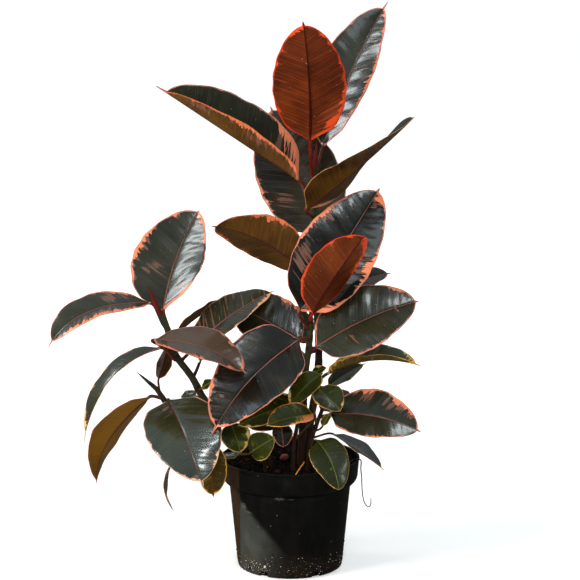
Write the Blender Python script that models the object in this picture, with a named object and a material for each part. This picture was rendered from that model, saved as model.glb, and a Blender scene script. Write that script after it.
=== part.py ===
# A ruby rubber plant in a black nursery pot. Metres, +Z up, the pot's base centre is the origin,
# -Y is the front. Every leaf with its stalk, every stem, the soil and the pot is one closed solid.

import math
from dataclasses import dataclass

import bmesh
import bpy
from mathutils import Matrix, Vector

# Clearances between pieces that touch on the real plant
GAP = 0.0003
HOLE_CLEARANCE = 0.0006

# Pot
RIM_HEIGHT = 0.136
RIM_RADIUS = 0.085
RIM_ROUNDING = 0.0006
BAND_BOTTOM = 0.105
BAND_CORNER = 0.116
BAND_CORNER_RADIUS = 0.083
SHOULDER_STEPS = 4
BODY_TOP_RADIUS = 0.0742
BASE_RADIUS = 0.0640
BASE_ROUNDING = 0.0025
WALL = 0.0018
FLOOR = 0.0030
POT_SIDES = 40
NOTCH_COUNT = 6
NOTCH_FIRST_ANGLE = math.radians(-120)
NOTCH_WIDTH = 0.012
NOTCH_HEIGHT = 0.0070
NOTCH_DEPTH = 0.0050

# Soil
SOIL_TOP = 0.128
SOIL_SWELL = 0.0018
SOIL_RINGS = 5
HOLE_FLOOR = 0.104
HOLE_DEPTH = 0.050
HOLE_SIDES = 12

# Stems
STEM_STEP = 0.018
STEM_COLLAR = 0.004
SCAR_SWELLING = 0.12
SCAR_HALF_HEIGHT = 0.004
BUD_PROFILE = ((0.12, 1.0), (0.35, 0.85), (0.7, 0.5), (1.0, 0.14))

# Leaf sections
LEAF_EDGE = 0.00045
LEAF_MIDDLE = 0.00055
RIB_DEPTH = 0.0014
RIB_TAPER = 0.7
STALK_RADIUS = 0.0020
SMALL_STALK_RADIUS = 0.0013
SMALL_LEAF_WIDTH = 0.046
TIP_HALF_WIDTH = 0.0009
BLADE_STATIONS = (0.0, 0.05, 0.13, 0.25, 0.40, 0.55, 0.70, 0.82, 0.90, 0.95, 1.0)
SMALL_BLADE_STATIONS = (0.0, 0.08, 0.24, 0.46, 0.68, 0.87, 1.0)
STALK_STATIONS = (0.0, 0.22, 0.6)
STALK_PULL = 1.2
FLATTEN_START = -0.04
FLATTEN_END = 0.10
ACROSS = (-1.0, -0.55, 0.0, 0.55, 1.0)
STALK_ANGLES = tuple(math.radians(turn) for turn in (162, 126, 90, 54, 18))
EDGE_WAVE = 0.0012
EDGE_WAVES = 1.6

# The blade's outline: where it is widest, how blunt its ends are, and its narrowed drip tip
OUTLINE_LEAN = 0.86
OUTLINE_BLUNTNESS = 0.55
TIP_NARROWING = 0.45
TIP_START = 0.86
TIP_END = 0.97

# Where the plant is looked at from. A leaf with no roll turns its upper side this way.
VIEWER = Vector((0.0, -0.98, 0.20)).normalized()

# Base colour and roughness of each finish
FINISHES = {
    "pot": ((0.030, 0.030, 0.028, 1.0), 0.55),
    "soil": ((0.020, 0.014, 0.010, 1.0), 0.95),
    "stem": ((0.110, 0.070, 0.030, 1.0), 0.60),
    "dark": ((0.045, 0.055, 0.045, 1.0), 0.30),
    "red": ((0.360, 0.060, 0.020, 1.0), 0.35),
    "green": ((0.100, 0.130, 0.025, 1.0), 0.35),
    "litter": ((0.300, 0.130, 0.040, 1.0), 0.80),
}


def finish(name):
    """The Principled material of one finish, made the first time it is asked for."""
    if name in bpy.data.materials:
        return bpy.data.materials[name]
    colour, roughness = FINISHES[name]
    material = bpy.data.materials.new(name)
    material.use_nodes = True
    shader = material.node_tree.nodes["Principled BSDF"]
    shader.inputs["Base Color"].default_value = colour
    shader.inputs["Roughness"].default_value = roughness
    shader.inputs["Metallic"].default_value = 0.0
    material.diffuse_color = colour
    return material


def add_object(name, mesh, finish_name):
    """Put a mesh in the scene as a node with a finish of its own."""
    item = bpy.data.objects.new(name, mesh)
    bpy.context.scene.collection.objects.link(item)
    own = finish(finish_name).copy()
    own.name = f"{name}_{finish_name}"
    mesh.materials.append(own)
    mesh.shade_smooth()
    mesh.set_sharp_from_angle(angle=math.radians(40))
    return item


def as_cutter(item):
    """Keep an object only as a Boolean's second shape."""
    item.hide_render = True
    item.display_type = "WIRE"
    return item


def add_boolean(item, other, operation):
    """Cut another object out of an object, or join it on."""
    modifier = item.modifiers.new(other.name, "BOOLEAN")
    modifier.operation = operation
    modifier.solver = "EXACT"
    modifier.object = other


def smoothstep(low, high, value):
    """A smooth rise from 0 to 1 between two values."""
    t = min(max((value - low) / (high - low), 0.0), 1.0)
    return t * t * (3.0 - 2.0 * t)


def across_direction(vector, axis):
    """The unit part of a vector that stands square to an axis."""
    return (vector - axis * vector.dot(axis)).normalized()


# Lofts


def finished_mesh(name, shape):
    """Turn a bmesh into a mesh whose faces point outwards."""
    bmesh.ops.recalc_face_normals(shape, faces=shape.faces)
    mesh = bpy.data.meshes.new(name)
    shape.to_mesh(mesh)
    shape.free()
    return mesh


def loft(name, rings, alike_on_both_faces=False):
    """Join rings of points, all of one length, into one closed mesh.

    For a blade, whose rings run across its upper face and back along its lower one, the quads of
    both faces can be split alike, so that the two skins stay parallel.
    """
    shape = bmesh.new()
    count = len(rings[0])
    layers = [[shape.verts.new(point) for point in ring] for ring in rings]
    for lower, upper in zip(layers, layers[1:]):
        for i in range(count):
            j = (i + 1) % count
            if alike_on_both_faces and i < count // 2:
                shape.faces.new((lower[i], lower[j], upper[j]))
                shape.faces.new((lower[i], upper[j], upper[i]))
            else:
                shape.faces.new((lower[i], lower[j], upper[i]))
                shape.faces.new((lower[j], upper[j], upper[i]))
    close_ring(shape, layers[0])
    close_ring(shape, layers[-1])
    return finished_mesh(name, shape)


def close_ring(shape, layer):
    """Close an end ring with a strip of triangles between its two halves."""
    low = 0
    high = len(layer) - 1
    take_low = True
    while high - low > 1:
        third = low + 1 if take_low else high - 1
        shape.faces.new((layer[low], layer[third], layer[high]))
        if take_low:
            low += 1
        else:
            high -= 1
        take_low = not take_low


def tube(name, line, radii, sides):
    """A round loft along a line of points, with a radius at each."""
    side = Vector((1.0, 0.0, 0.0))
    turns = [2.0 * math.pi * k / sides for k in range(sides)]
    rings = []
    for index, (point, radius) in enumerate(zip(line, radii)):
        ahead = line[min(index + 1, len(line) - 1)]
        behind = line[max(index - 1, 0)]
        axis = (ahead - behind).normalized()
        side = across_direction(side, axis)
        other = axis.cross(side)
        rings.append([point + (side * math.cos(a) + other * math.sin(a)) * radius for a in turns])
    return loft(name, rings)


def smooth_line(points, step):
    """Points of a smooth curve through the given ones, about a step apart."""
    own = [Vector(point) for point in points]
    ends = [own[0] * 2 - own[1]] + own + [own[-1] * 2 - own[-2]]
    line = []
    for a, b, c, d in zip(ends, ends[1:], ends[2:], ends[3:]):
        pieces = max(1, round((c - b).length / step))
        for k in range(pieces):
            t = k / pieces
            straight = b * 2 + (c - a) * t
            bend = (a * 2 - b * 5 + c * 4 - d) * t * t
            turn = (b * 3 - a - c * 3 + d) * t * t * t
            line.append((straight + bend + turn) * 0.5)
    line.append(own[-1])
    return line


# Stems


@dataclass
class Stem:
    """A round shoot: its centre line from its foot to its top, its thickness and its top bud."""

    name: str
    points: tuple
    radius: float
    tip_radius: float
    scars: tuple = ()
    bud: tuple = ()
    bud_radius: float = 0.0
    step: float = STEM_STEP
    sides: int = 8

    def radius_at(self, height):
        """The stem's radius at a height, with a small swelling at each leaf scar."""
        bottom = self.points[0][2]
        top = self.points[-1][2]
        share = (height - bottom) / (top - bottom)
        radius = self.radius + (self.tip_radius - self.radius) * share
        swelling = sum(math.exp(-(((height - scar) / SCAR_HALF_HEIGHT) ** 2)) for scar in self.scars)
        return radius * (1.0 + SCAR_SWELLING * min(swelling, 1.0))

    def at_height(self, height):
        """The centre and the direction of the stem at a height."""
        line = smooth_line(self.points, self.step)
        for low, high in zip(line, line[1:]):
            if low.z <= height <= high.z:
                share = (height - low.z) / (high.z - low.z)
                return low.lerp(high, share), (high - low).normalized()
        return line[-1], (line[-1] - line[-2]).normalized()

    def build(self):
        """Loft the stem, with a pointed bud beyond its top where it has one."""
        line = smooth_line(self.points, self.step)
        radii = [self.radius_at(point.z) for point in line]
        if self.bud:
            start = line[-1]
            for share, width in BUD_PROFILE:
                line.append(start.lerp(Vector(self.bud), share))
                radii.append(self.bud_radius * width)
        return tube(self.name, line, radii, self.sides)


def rooted(x, y, *path):
    """A stem's points: straight up out of its hole in the soil, then along the path."""
    return ((x, y, HOLE_FLOOR + GAP), (x, y, SOIL_TOP + STEM_COLLAR)) + path


STEMS = {
    "tall": Stem(
        "tall_stem",
        rooted(0.021, 0.020, (0.022, 0.020, 0.151), (0.026, 0.020, 0.182), (0.032, 0.020, 0.214),
               (0.035, 0.020, 0.251), (0.034, 0.020, 0.289), (0.031, 0.019, 0.338),
               (0.029, 0.018, 0.388), (0.028, 0.016, 0.431), (0.029, 0.014, 0.468),
               (0.030, 0.012, 0.490)),
        radius=0.0052, tip_radius=0.0034,
        scars=(0.165, 0.2, 0.222, 0.247, 0.33, 0.372, 0.43, 0.452),
        bud=(0.032, 0.011, 0.520), bud_radius=0.0034),
    "front": Stem(
        "front_stem",
        rooted(0.013, -0.012, (0.015, -0.012, 0.172), (0.017, -0.013, 0.216), (0.019, -0.013, 0.247),
               (0.023, -0.012, 0.277), (0.025, -0.012, 0.309)),
        radius=0.0050, tip_radius=0.0036, scars=(0.2, 0.235, 0.274, 0.286),
        bud=(0.024, -0.012, 0.321), bud_radius=0.0030),
    "left": Stem(
        "left_stem",
        rooted(-0.026, -0.018, (-0.034, -0.018, 0.147), (-0.064, -0.020, 0.174),
               (-0.100, -0.020, 0.208), (-0.118, -0.018, 0.239), (-0.138, -0.016, 0.267),
               (-0.146, -0.015, 0.295), (-0.155, -0.015, 0.314)),
        radius=0.0050, tip_radius=0.0038, scars=(0.19, 0.226, 0.264, 0.292),
        bud=(-0.169, -0.024, 0.352), bud_radius=0.0040),
    "low": Stem(
        "low_branch",
        ((-0.078, -0.020, 0.187), (-0.100, -0.023, 0.187), (-0.124, -0.024, 0.190),
         (-0.146, -0.025, 0.206), (-0.160, -0.025, 0.226)),
        radius=0.0040, tip_radius=0.0030, scars=(0.2, 0.214),
        bud=(-0.183, -0.034, 0.249), bud_radius=0.0028),
    "twig": Stem(
        "small_twig",
        ((-0.117, -0.018, 0.238), (-0.112, -0.016, 0.248), (-0.109, -0.014, 0.256)),
        radius=0.0022, tip_radius=0.0018, step=0.008),
    "sucker": Stem(
        "right_sucker",
        rooted(0.022, -0.030, (0.025, -0.031, 0.162), (0.032, -0.031, 0.184), (0.038, -0.031, 0.200)),
        radius=0.0034, tip_radius=0.0024, scars=(0.158, 0.18),
        bud=(0.041, -0.031, 0.214), bud_radius=0.0026),
    "centre": Stem(
        "centre_sucker",
        rooted(0.004, -0.034, (0.005, -0.034, 0.160), (0.009, -0.035, 0.186)),
        radius=0.0030, tip_radius=0.0024, scars=(0.15, 0.17),
        bud=(0.011, -0.036, 0.196), bud_radius=0.0024),
    "basal": Stem(
        "left_sucker",
        rooted(-0.030, -0.042, (-0.032, -0.042, 0.150), (-0.036, -0.042, 0.166)),
        radius=0.0026, tip_radius=0.0020, scars=(0.145,),
        bud=(-0.038, -0.042, 0.176), bud_radius=0.0020),
}

# The shoots that grow out of the left stem, and are one solid with it
SIDE_SHOOTS = ("low", "twig")


# Leaves


def bezier(start, pull, end, share):
    """The point and the direction of an arc from start to end, drawn towards one pull point."""
    point = start.lerp(pull, share).lerp(pull.lerp(end, share), share)
    along = (pull - start).lerp(end - pull, share)
    return point, along.normalized()


def hermite(start, start_pull, end, end_pull, share):
    """The point and the direction of a curve that leaves and arrives along its two pulls."""
    square = share * share
    cube = square * share
    point = (start * (2 * cube - 3 * square + 1) + start_pull * (cube - 2 * square + share)
             + end * (3 * square - 2 * cube) + end_pull * (cube - square))
    along = (start * (6 * square - 6 * share) + start_pull * (3 * square - 4 * share + 1)
             + end * (6 * share - 6 * square) + end_pull * (3 * square - 2 * share))
    return point, along.normalized()


@dataclass
class Leaf:
    """A leaf: a stalk from its stem to the blade's base, and a blade from its base to its tip.

    foot is the height on the stem at which the stalk leaves it. roll is how far the upper side
    turns away from the viewer, in degrees, as a right-handed screw that runs from base to tip.
    arch lifts the middle of the midrib towards the upper side, and crest is how far along the
    blade the arch is highest. fold raises both halves, in degrees, twist turns the blade from
    base to tip, and sway bends it to the right of one who looks at its upper side, tip up.
    """

    name: str
    stem: str
    foot: float
    base: tuple
    tip: tuple
    width: float
    roll: float
    arch: float = 0.0
    crest: float = 0.5
    fold: float = 10.0
    twist: float = 0.0
    sway: float = 0.0
    finish: str = "dark"

    def small(self):
        """Whether the leaf is one of the small ones, which have fewer sections."""
        return self.width < SMALL_LEAF_WIDTH

    def stalk_radius(self):
        """Half the thickness of the stalk."""
        return SMALL_STALK_RADIUS if self.small() else STALK_RADIUS

    def face(self):
        """The direction that the middle of the upper side looks."""
        line = (Vector(self.tip) - Vector(self.base)).normalized()
        return Matrix.Rotation(math.radians(self.roll), 3, line) @ across_direction(VIEWER, line)

    def foot_point(self):
        """Where the stalk meets its stem, and the direction in which it leaves."""
        stem = STEMS[self.stem]
        centre, axis = stem.at_height(self.foot)
        outward = across_direction(Vector(self.base) - centre, axis)
        return centre + outward * (stem.radius_at(self.foot) + GAP), outward

    def midrib(self, share):
        """The point, the direction and the up side of the midrib at a share of its length."""
        base = Vector(self.base)
        tip = Vector(self.tip)
        face = self.face()
        right = (tip - base).cross(face).normalized()
        pull = base.lerp(tip, self.crest) + face * 2.0 * self.arch + right * 2.0 * self.sway
        point, along = bezier(base, pull, tip, share)
        turn = Matrix.Rotation(math.radians(self.twist) * (share - 0.5), 3, along)
        return point, along, turn @ across_direction(face, along)

    def half_width(self, share):
        """Half the blade's width: oblong, round at its base, with a short drip tip."""
        swell = math.sin(math.pi * share**OUTLINE_LEAN) if 0.0 < share < 1.0 else 0.0
        tip = 1.0 - TIP_NARROWING * smoothstep(TIP_START, TIP_END, share)
        wide = 0.5 * self.width * swell**OUTLINE_BLUNTNESS * tip
        narrow = self.stalk_radius() + (TIP_HALF_WIDTH - self.stalk_radius()) * share
        return max(wide, narrow)

    def section(self, point, along, up, share, flat):
        """One section: round on the stalk, thin, folded and waved on the blade."""
        side = along.cross(up)
        radius = self.stalk_radius()
        half_width = self.half_width(share)
        tilt = math.radians(self.fold) * flat
        ripple = EDGE_WAVE * math.sin(2.0 * math.pi * EDGE_WAVES * share) * math.sin(math.pi * share)
        upper = []
        lower = []
        for across, angle in zip(ACROSS, STALK_ANGLES):
            round_x = math.cos(angle) * radius
            round_z = math.sin(angle) * radius
            blade_x = across * half_width * math.cos(tilt)
            blade_z = abs(across) * half_width * math.sin(tilt) + ripple * across * abs(across)
            skin = LEAF_MIDDLE + (LEAF_EDGE - LEAF_MIDDLE) * abs(across)
            rib = RIB_DEPTH * (1.0 - RIB_TAPER * share) if across == 0.0 else skin
            x = round_x + (blade_x - round_x) * flat
            top = round_z + (blade_z + skin - round_z) * flat
            bottom = -round_z + (blade_z - rib + round_z) * flat
            upper.append(point + side * x + up * top)
            lower.append(point + side * x + up * bottom)
        return upper + lower[::-1]

    def stalk(self):
        """The sections of the stalk, from the stem to just short of the blade."""
        base, base_along, up = self.midrib(0.0)
        foot, outward = self.foot_point()
        pull = (base - foot).length * STALK_PULL
        sections = []
        for share in reversed(STALK_STATIONS):
            point, along = hermite(foot, outward * pull, base, base_along * pull, share)
            up = across_direction(up, along)
            sections.insert(0, self.section(point, along, up, share=0.0, flat=0.0))
        return sections

    def blade(self):
        """The sections of the blade, which flattens out of the stalk near its base."""
        stations = SMALL_BLADE_STATIONS if self.small() else BLADE_STATIONS
        sections = []
        for share in stations:
            flat = smoothstep(FLATTEN_START, FLATTEN_END, share)
            sections.append(self.section(*self.midrib(share), share=share, flat=flat))
        return sections

    def build(self):
        """Loft the stalk and the blade as one solid."""
        return loft(self.name, self.stalk() + self.blade(), alike_on_both_faces=True)


LEAVES = (
    # The tall stem's own leaves, from the top down
    Leaf("top_red", "tall", 0.478, (0.024, -0.004, 0.524), (0.015, -0.022, 0.665),
         0.089, 179, arch=0.006, fold=12, sway=-0.003, finish="red"),
    Leaf("top_back", "tall", 0.484, (0.040, 0.034, 0.512), (0.118, 0.080, 0.681),
         0.082, -35, arch=-0.006, crest=0.60, fold=17, sway=-0.011),
    Leaf("upper_left", "tall", 0.452, (0.010, 0.004, 0.476), (-0.156, -0.030, 0.591),
         0.094, 57, fold=54),
    Leaf("leaning_back", "tall", 0.404, (0.040, 0.042, 0.401), (-0.024, 0.125, 0.549),
         0.105, 9, arch=-0.006, fold=8),
    Leaf("upper_right", "tall", 0.430, (0.020, -0.004, 0.442), (0.145, -0.034, 0.555),
         0.084, -102, arch=-0.003, fold=12, twist=56),
    Leaf("left_bronze", "tall", 0.372, (0.016, 0.010, 0.365), (-0.093, -0.024, 0.424),
         0.079, 133, arch=0.014, fold=12),
    Leaf("right_tip", "tall", 0.330, (0.056, 0.036, 0.336), (0.124, 0.048, 0.354),
         0.046, -50, arch=0.003),
    Leaf("right_trough", "tall", 0.226, (0.046, -0.002, 0.240), (0.156, -0.034, 0.257),
         0.057, -78, arch=0.012, fold=28),
    Leaf("right_under", "tall", 0.218, (0.047, 0.026, 0.217), (0.093, 0.042, 0.242),
         0.030, -52, arch=0.002),
    Leaf("back_high", "tall", 0.316, (0.047, 0.064, 0.302), (0.075, 0.126, 0.358),
         0.084, -21, arch=0.006),
    Leaf("back_left", "tall", 0.262, (0.000, 0.062, 0.234), (-0.048, 0.140, 0.234),
         0.080, 43, arch=0.010),
    Leaf("back_right", "tall", 0.206, (0.045, 0.058, 0.179), (0.097, 0.128, 0.142),
         0.060, -59, arch=0.012),
    Leaf("stem_small", "tall", 0.240, (0.027, 0.004, 0.239), (0.044, -0.002, 0.247),
         0.012, -22, arch=0.001, finish="green"),
    # The front stem's leaves
    Leaf("front_tall", "front", 0.298, (0.013, -0.020, 0.321), (0.107, 0.006, 0.465),
         0.098, -16, arch=0.004, fold=12, sway=0.002),
    Leaf("front_red", "front", 0.307, (0.027, -0.056, 0.326), (0.086, -0.098, 0.426),
         0.070, -147, arch=0.003, fold=30, finish="red"),
    Leaf("right_mid", "front", 0.274, (0.032, -0.026, 0.278), (0.153, -0.030, 0.335),
         0.084, -25, arch=0.006, sway=-0.004),
    Leaf("big_front", "front", 0.286, (0.010, -0.034, 0.288), (-0.092, -0.084, 0.186),
         0.091, 19, arch=0.008, fold=14, sway=0.008),
    Leaf("mid_dark", "front", 0.281, (0.014, -0.004, 0.280), (-0.073, 0.032, 0.320),
         0.072, 23, arch=0.004, fold=12),
    Leaf("mid_backlit", "front", 0.262, (0.007, 0.008, 0.273), (-0.004, 0.066, 0.313),
         0.056, 10, arch=-0.003, finish="green"),
    Leaf("centre_green", "front", 0.234, (0.037, -0.028, 0.245), (-0.002, -0.046, 0.209),
         0.034, 36, arch=0.004, fold=12, finish="green"),
    # The left stem's leaves
    Leaf("left_near", "left", 0.272, (-0.160, -0.050, 0.292), (-0.051, -0.084, 0.259),
         0.076, -62, arch=0.013, crest=0.55),
    Leaf("left_arch", "left", 0.262, (-0.156, -0.022, 0.276), (-0.246, -0.054, 0.168),
         0.057, 72, arch=0.024, crest=0.45, fold=12),
    Leaf("far_left", "left", 0.303, (-0.168, -0.009, 0.328), (-0.285, -0.062, 0.286),
         0.063, 57, arch=0.023, crest=0.66),
    Leaf("left_upright", "left", 0.296, (-0.152, -0.004, 0.319), (-0.111, 0.070, 0.428),
         0.101, -25, arch=-0.004, fold=22, sway=-0.010),
    Leaf("mid_left", "left", 0.258, (-0.116, -0.006, 0.272), (-0.019, 0.022, 0.337),
         0.066, -53, arch=0.008, fold=12),
    Leaf("mid_edge", "left", 0.276, (-0.139, 0.022, 0.283), (-0.079, 0.052, 0.319),
         0.050, -97, arch=0.003),
    Leaf("low_behind", "left", 0.180, (-0.098, -0.046, 0.164), (-0.091, -0.080, 0.108),
         0.038, -168, arch=0.004, fold=8),
    Leaf("low_green", "left", 0.172, (-0.071, -0.036, 0.186), (-0.059, -0.050, 0.153),
         0.036, -13, arch=0.004, fold=8, finish="green"),
    Leaf("left_stub", "left", 0.224, (-0.105, -0.034, 0.230), (-0.091, -0.044, 0.241),
         0.012, -31, arch=0.001, finish="green"),
    Leaf("left_small", "left", 0.214, (-0.114, 0.000, 0.211), (-0.133, 0.022, 0.206),
         0.015, 44, arch=0.002, finish="green"),
    Leaf("twig", "twig", 0.253, (-0.108, -0.009, 0.257), (-0.103, -0.002, 0.271),
         0.011, -28, arch=0.001),
    # The low branch's leaves
    Leaf("left_hanging", "low", 0.217, (-0.169, -0.028, 0.217), (-0.231, -0.060, 0.119),
         0.064, 116, arch=0.019, crest=0.68, fold=12, sway=0.004),
    Leaf("left_inner", "low", 0.224, (-0.158, -0.018, 0.237), (-0.147, 0.002, 0.275),
         0.020, 153, arch=0.001, fold=14),
    Leaf("low_left", "low", 0.204, (-0.145, -0.040, 0.216), (-0.101, -0.106, 0.126),
         0.091, -16, arch=0.010, crest=0.45, fold=8, finish="green"),
    Leaf("low_sliver", "low", 0.196, (-0.139, -0.032, 0.140), (-0.140, -0.048, 0.081),
         0.030, -87, arch=-0.012, fold=6),
    # Small leaves on the suckers at the foot of the plant
    Leaf("right_low", "sucker", 0.194, (0.049, -0.034, 0.197), (0.156, -0.056, 0.181),
         0.072, -39, arch=0.009, sway=-0.003),
    Leaf("right_droop", "sucker", 0.168, (0.053, -0.022, 0.169), (0.113, -0.050, 0.132),
         0.044, -74, arch=0.002, fold=12),
    Leaf("over_rim", "sucker", 0.156, (0.033, -0.054, 0.169), (0.058, -0.092, 0.120),
         0.044, -9, arch=0.005, fold=8, sway=-0.004, finish="green"),
    Leaf("green_fold", "sucker", 0.186, (0.033, -0.042, 0.230), (0.060, -0.064, 0.208),
         0.038, -31, arch=0.003, fold=12, finish="green"),
    Leaf("sucker_small", "sucker", 0.176, (0.039, -0.046, 0.186), (0.048, -0.052, 0.203),
         0.011, -153, arch=0.001, finish="green"),
    Leaf("under_green", "centre", 0.184, (0.012, -0.032, 0.212), (-0.063, -0.048, 0.186),
         0.040, 37, arch=0.005, finish="green"),
    Leaf("under_orange", "centre", 0.168, (0.027, -0.056, 0.203), (-0.028, -0.084, 0.196),
         0.038, 43, arch=0.003, fold=22, finish="green"),
    Leaf("small_dark", "centre", 0.166, (-0.011, -0.046, 0.189), (-0.008, -0.056, 0.162),
         0.025, -12, arch=0.002),
    Leaf("under_dark", "centre", 0.178, (0.007, -0.014, 0.195), (-0.053, -0.020, 0.178),
         0.034, 23, arch=0.003),
    Leaf("rim_left", "basal", 0.150, (-0.061, -0.040, 0.149), (-0.085, -0.022, 0.138),
         0.013, 54, arch=0.001, finish="green"),
    Leaf("bright_green", "basal", 0.156, (-0.047, -0.058, 0.156), (-0.018, -0.072, 0.179),
         0.034, -13, arch=0.003, fold=8, finish="green"),
)


# Pot and soil


def pot_angles():
    """The directions of the pot's corners, which the soil shares."""
    return [2.0 * math.pi * k / POT_SIDES for k in range(POT_SIDES)]


def body_radius(height):
    """The outside radius of the pot's tapered body."""
    return BASE_RADIUS + (BODY_TOP_RADIUS - BASE_RADIUS) * height / BAND_BOTTOM


def pot_profile():
    """Half the pot's section, from the middle of its underside to the middle of its floor."""
    outside = [(0.0, 0.0), (BASE_RADIUS - BASE_ROUNDING, 0.0),
               (BASE_RADIUS - 0.3 * BASE_ROUNDING, 0.3 * BASE_ROUNDING),
               (BASE_RADIUS, BASE_ROUNDING), (BODY_TOP_RADIUS, BAND_BOTTOM)]
    shoulder = []
    for step in range(1, SHOULDER_STEPS + 1):
        turn = math.pi / 2 * step / SHOULDER_STEPS
        shoulder.append((BODY_TOP_RADIUS + (BAND_CORNER_RADIUS - BODY_TOP_RADIUS) * math.sin(turn),
                         BAND_CORNER - (BAND_CORNER - BAND_BOTTOM) * math.cos(turn)))
    rim = [(RIM_RADIUS, RIM_HEIGHT - RIM_ROUNDING), (RIM_RADIUS - RIM_ROUNDING, RIM_HEIGHT),
           (RIM_RADIUS - WALL, RIM_HEIGHT),
           (RIM_RADIUS - WALL - RIM_ROUNDING, RIM_HEIGHT - RIM_ROUNDING)]
    inside = [(BAND_CORNER_RADIUS - WALL, BAND_CORNER + WALL / 2),
              (BODY_TOP_RADIUS - WALL, BAND_BOTTOM + WALL / 2),
              (body_radius(FLOOR) - WALL, FLOOR), (0.0, FLOOR)]
    return outside + shoulder + rim + inside


def lathe(name, profile, sides):
    """Turn a profile of (radius, height) points, which starts and ends on the axis."""
    shape = bmesh.new()
    verts = [shape.verts.new((radius, 0.0, height)) for radius, height in profile]
    edges = [shape.edges.new(pair) for pair in zip(verts, verts[1:])]
    bmesh.ops.spin(shape, geom=verts + edges, cent=(0, 0, 0), axis=(0, 0, 1), angle=2 * math.pi,
                   steps=sides, use_merge=True)
    bmesh.ops.remove_doubles(shape, verts=shape.verts, dist=0.00001)
    return finished_mesh(name, shape)


def notch_cutter():
    """The drain notches along the pot's bottom edge."""
    shape = bmesh.new()
    size = Matrix.Diagonal((2 * NOTCH_DEPTH, NOTCH_WIDTH, 2 * NOTCH_HEIGHT, 1.0))
    for index in range(NOTCH_COUNT):
        angle = NOTCH_FIRST_ANGLE + 2.0 * math.pi * index / NOTCH_COUNT
        place = Matrix.Rotation(angle, 4, "Z") @ Matrix.Translation((BASE_RADIUS, 0.0, 0.0))
        bmesh.ops.create_cube(shape, size=1.0, matrix=place @ size)
    return as_cutter(add_object("drain_notches", finished_mesh("drain_notches", shape), "pot"))


def add_pot():
    """The turned pot with its drain notches."""
    pot = add_object("pot", lathe("pot", pot_profile(), POT_SIDES), "pot")
    add_boolean(pot, notch_cutter(), "DIFFERENCE")


def soil_height(x, y):
    """The uneven top of the soil."""
    broad = math.sin(55 * x + 1.0) * math.cos(48 * y)
    slanted = math.sin(90 * y + 70 * x)
    return SOIL_TOP + SOIL_SWELL * 0.5 * (broad + slanted)


def soil_rings():
    """Rings of points round the soil: up the pot's inner wall, then in over its top."""
    top_radius = BAND_CORNER_RADIUS - WALL - 3 * GAP
    wall = ((body_radius(FLOOR) - WALL - GAP, FLOOR + GAP),
            (BODY_TOP_RADIUS - WALL - GAP, BAND_BOTTOM + WALL / 2 + GAP),
            (top_radius, BAND_CORNER + WALL / 2 + GAP))
    rings = [[(radius * math.cos(a), radius * math.sin(a), height) for a in pot_angles()]
             for radius, height in wall]
    for ring in range(SOIL_RINGS, 0, -1):
        radius = top_radius * ring / SOIL_RINGS
        flat = [(radius * math.cos(a), radius * math.sin(a)) for a in pot_angles()]
        rings.append([(x, y, soil_height(x, y)) for x, y in flat])
    return rings


def soil_mesh():
    """The root ball's closed body, with no holes in it yet."""
    shape = bmesh.new()
    rings = [[shape.verts.new(point) for point in ring] for ring in soil_rings()]
    for low, high in zip(rings, rings[1:]):
        for i in range(POT_SIDES):
            j = (i + 1) % POT_SIDES
            shape.faces.new((low[i], low[j], high[j]))
            shape.faces.new((low[i], high[j], high[i]))
    shape.faces.new(rings[0])
    crown = shape.verts.new((0.0, 0.0, soil_height(0.0, 0.0)))
    for i in range(POT_SIDES):
        shape.faces.new((rings[-1][i], rings[-1][(i + 1) % POT_SIDES], crown))
    return finished_mesh("soil", shape)


def hole_cutter():
    """The plain holes in the soil that the stems stand in."""
    shape = bmesh.new()
    for key, stem in STEMS.items():
        if key in SIDE_SHOOTS:
            continue
        x, y, z = stem.points[0]
        radius = stem.radius_at(z) * (1.0 + SCAR_SWELLING) + HOLE_CLEARANCE
        bmesh.ops.create_cone(shape, cap_ends=True, segments=HOLE_SIDES, radius1=radius,
                              radius2=radius, depth=HOLE_DEPTH,
                              matrix=Matrix.Translation((x, y, HOLE_FLOOR + HOLE_DEPTH / 2)))
    return as_cutter(add_object("stem_holes", finished_mesh("stem_holes", shape), "soil"))


def add_soil():
    """The soil with a hole for each stem."""
    soil = add_object("soil", soil_mesh(), "soil")
    add_boolean(soil, hole_cutter(), "DIFFERENCE")


def add_stems():
    """Every stem with its bud, and the left stem with its two side shoots."""
    made = {key: add_object(stem.name, stem.build(), "stem") for key, stem in STEMS.items()}
    for key in SIDE_SHOOTS:
        add_boolean(made["left"], as_cutter(made[key]), "UNION")


def add_leaves():
    """Every leaf with its stalk."""
    for leaf in LEAVES:
        add_object(f"{leaf.name}_leaf", leaf.build(), leaf.finish)


# Litter on the soil, and a loose root that hangs over the rim

STRAND_RADIUS = 0.0006
STRAND_STEP = 0.006
STRAND_OVER_RIM = RIM_HEIGHT + GAP + STRAND_RADIUS
ROOT_STRAND = (
    (0.0700, -0.0150, 0.1300), (0.0765, -0.0172, 0.1355), (0.0825, -0.0200, STRAND_OVER_RIM),
    (0.0852, -0.0208, STRAND_OVER_RIM), (0.0868, -0.0215, 0.1345), (0.0866, -0.0225, 0.1140),
    (0.0875, -0.0225, 0.0990), (0.0905, -0.0225, 0.0845), (0.0955, -0.0225, 0.0780),
    (0.0985, -0.0225, 0.0840), (0.0985, -0.0225, 0.0890),
)
STRAW_RADIUS = 0.0007
STRAW_STEP = 0.020
STRAW = ((0.0165, -0.0560, 0.1310), (0.0065, -0.0840, RIM_HEIGHT + GAP + STRAW_RADIUS))
BUD_RADIUS = 0.0038
BUD_STEP = 0.003
BUD_END_SHARE = 0.2
BUD_BLUNTNESS = 0.7
FALLEN_BUD = ((-0.0020, 0.0100, 0.1330), (-0.0120, -0.0010, 0.1330))


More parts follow.
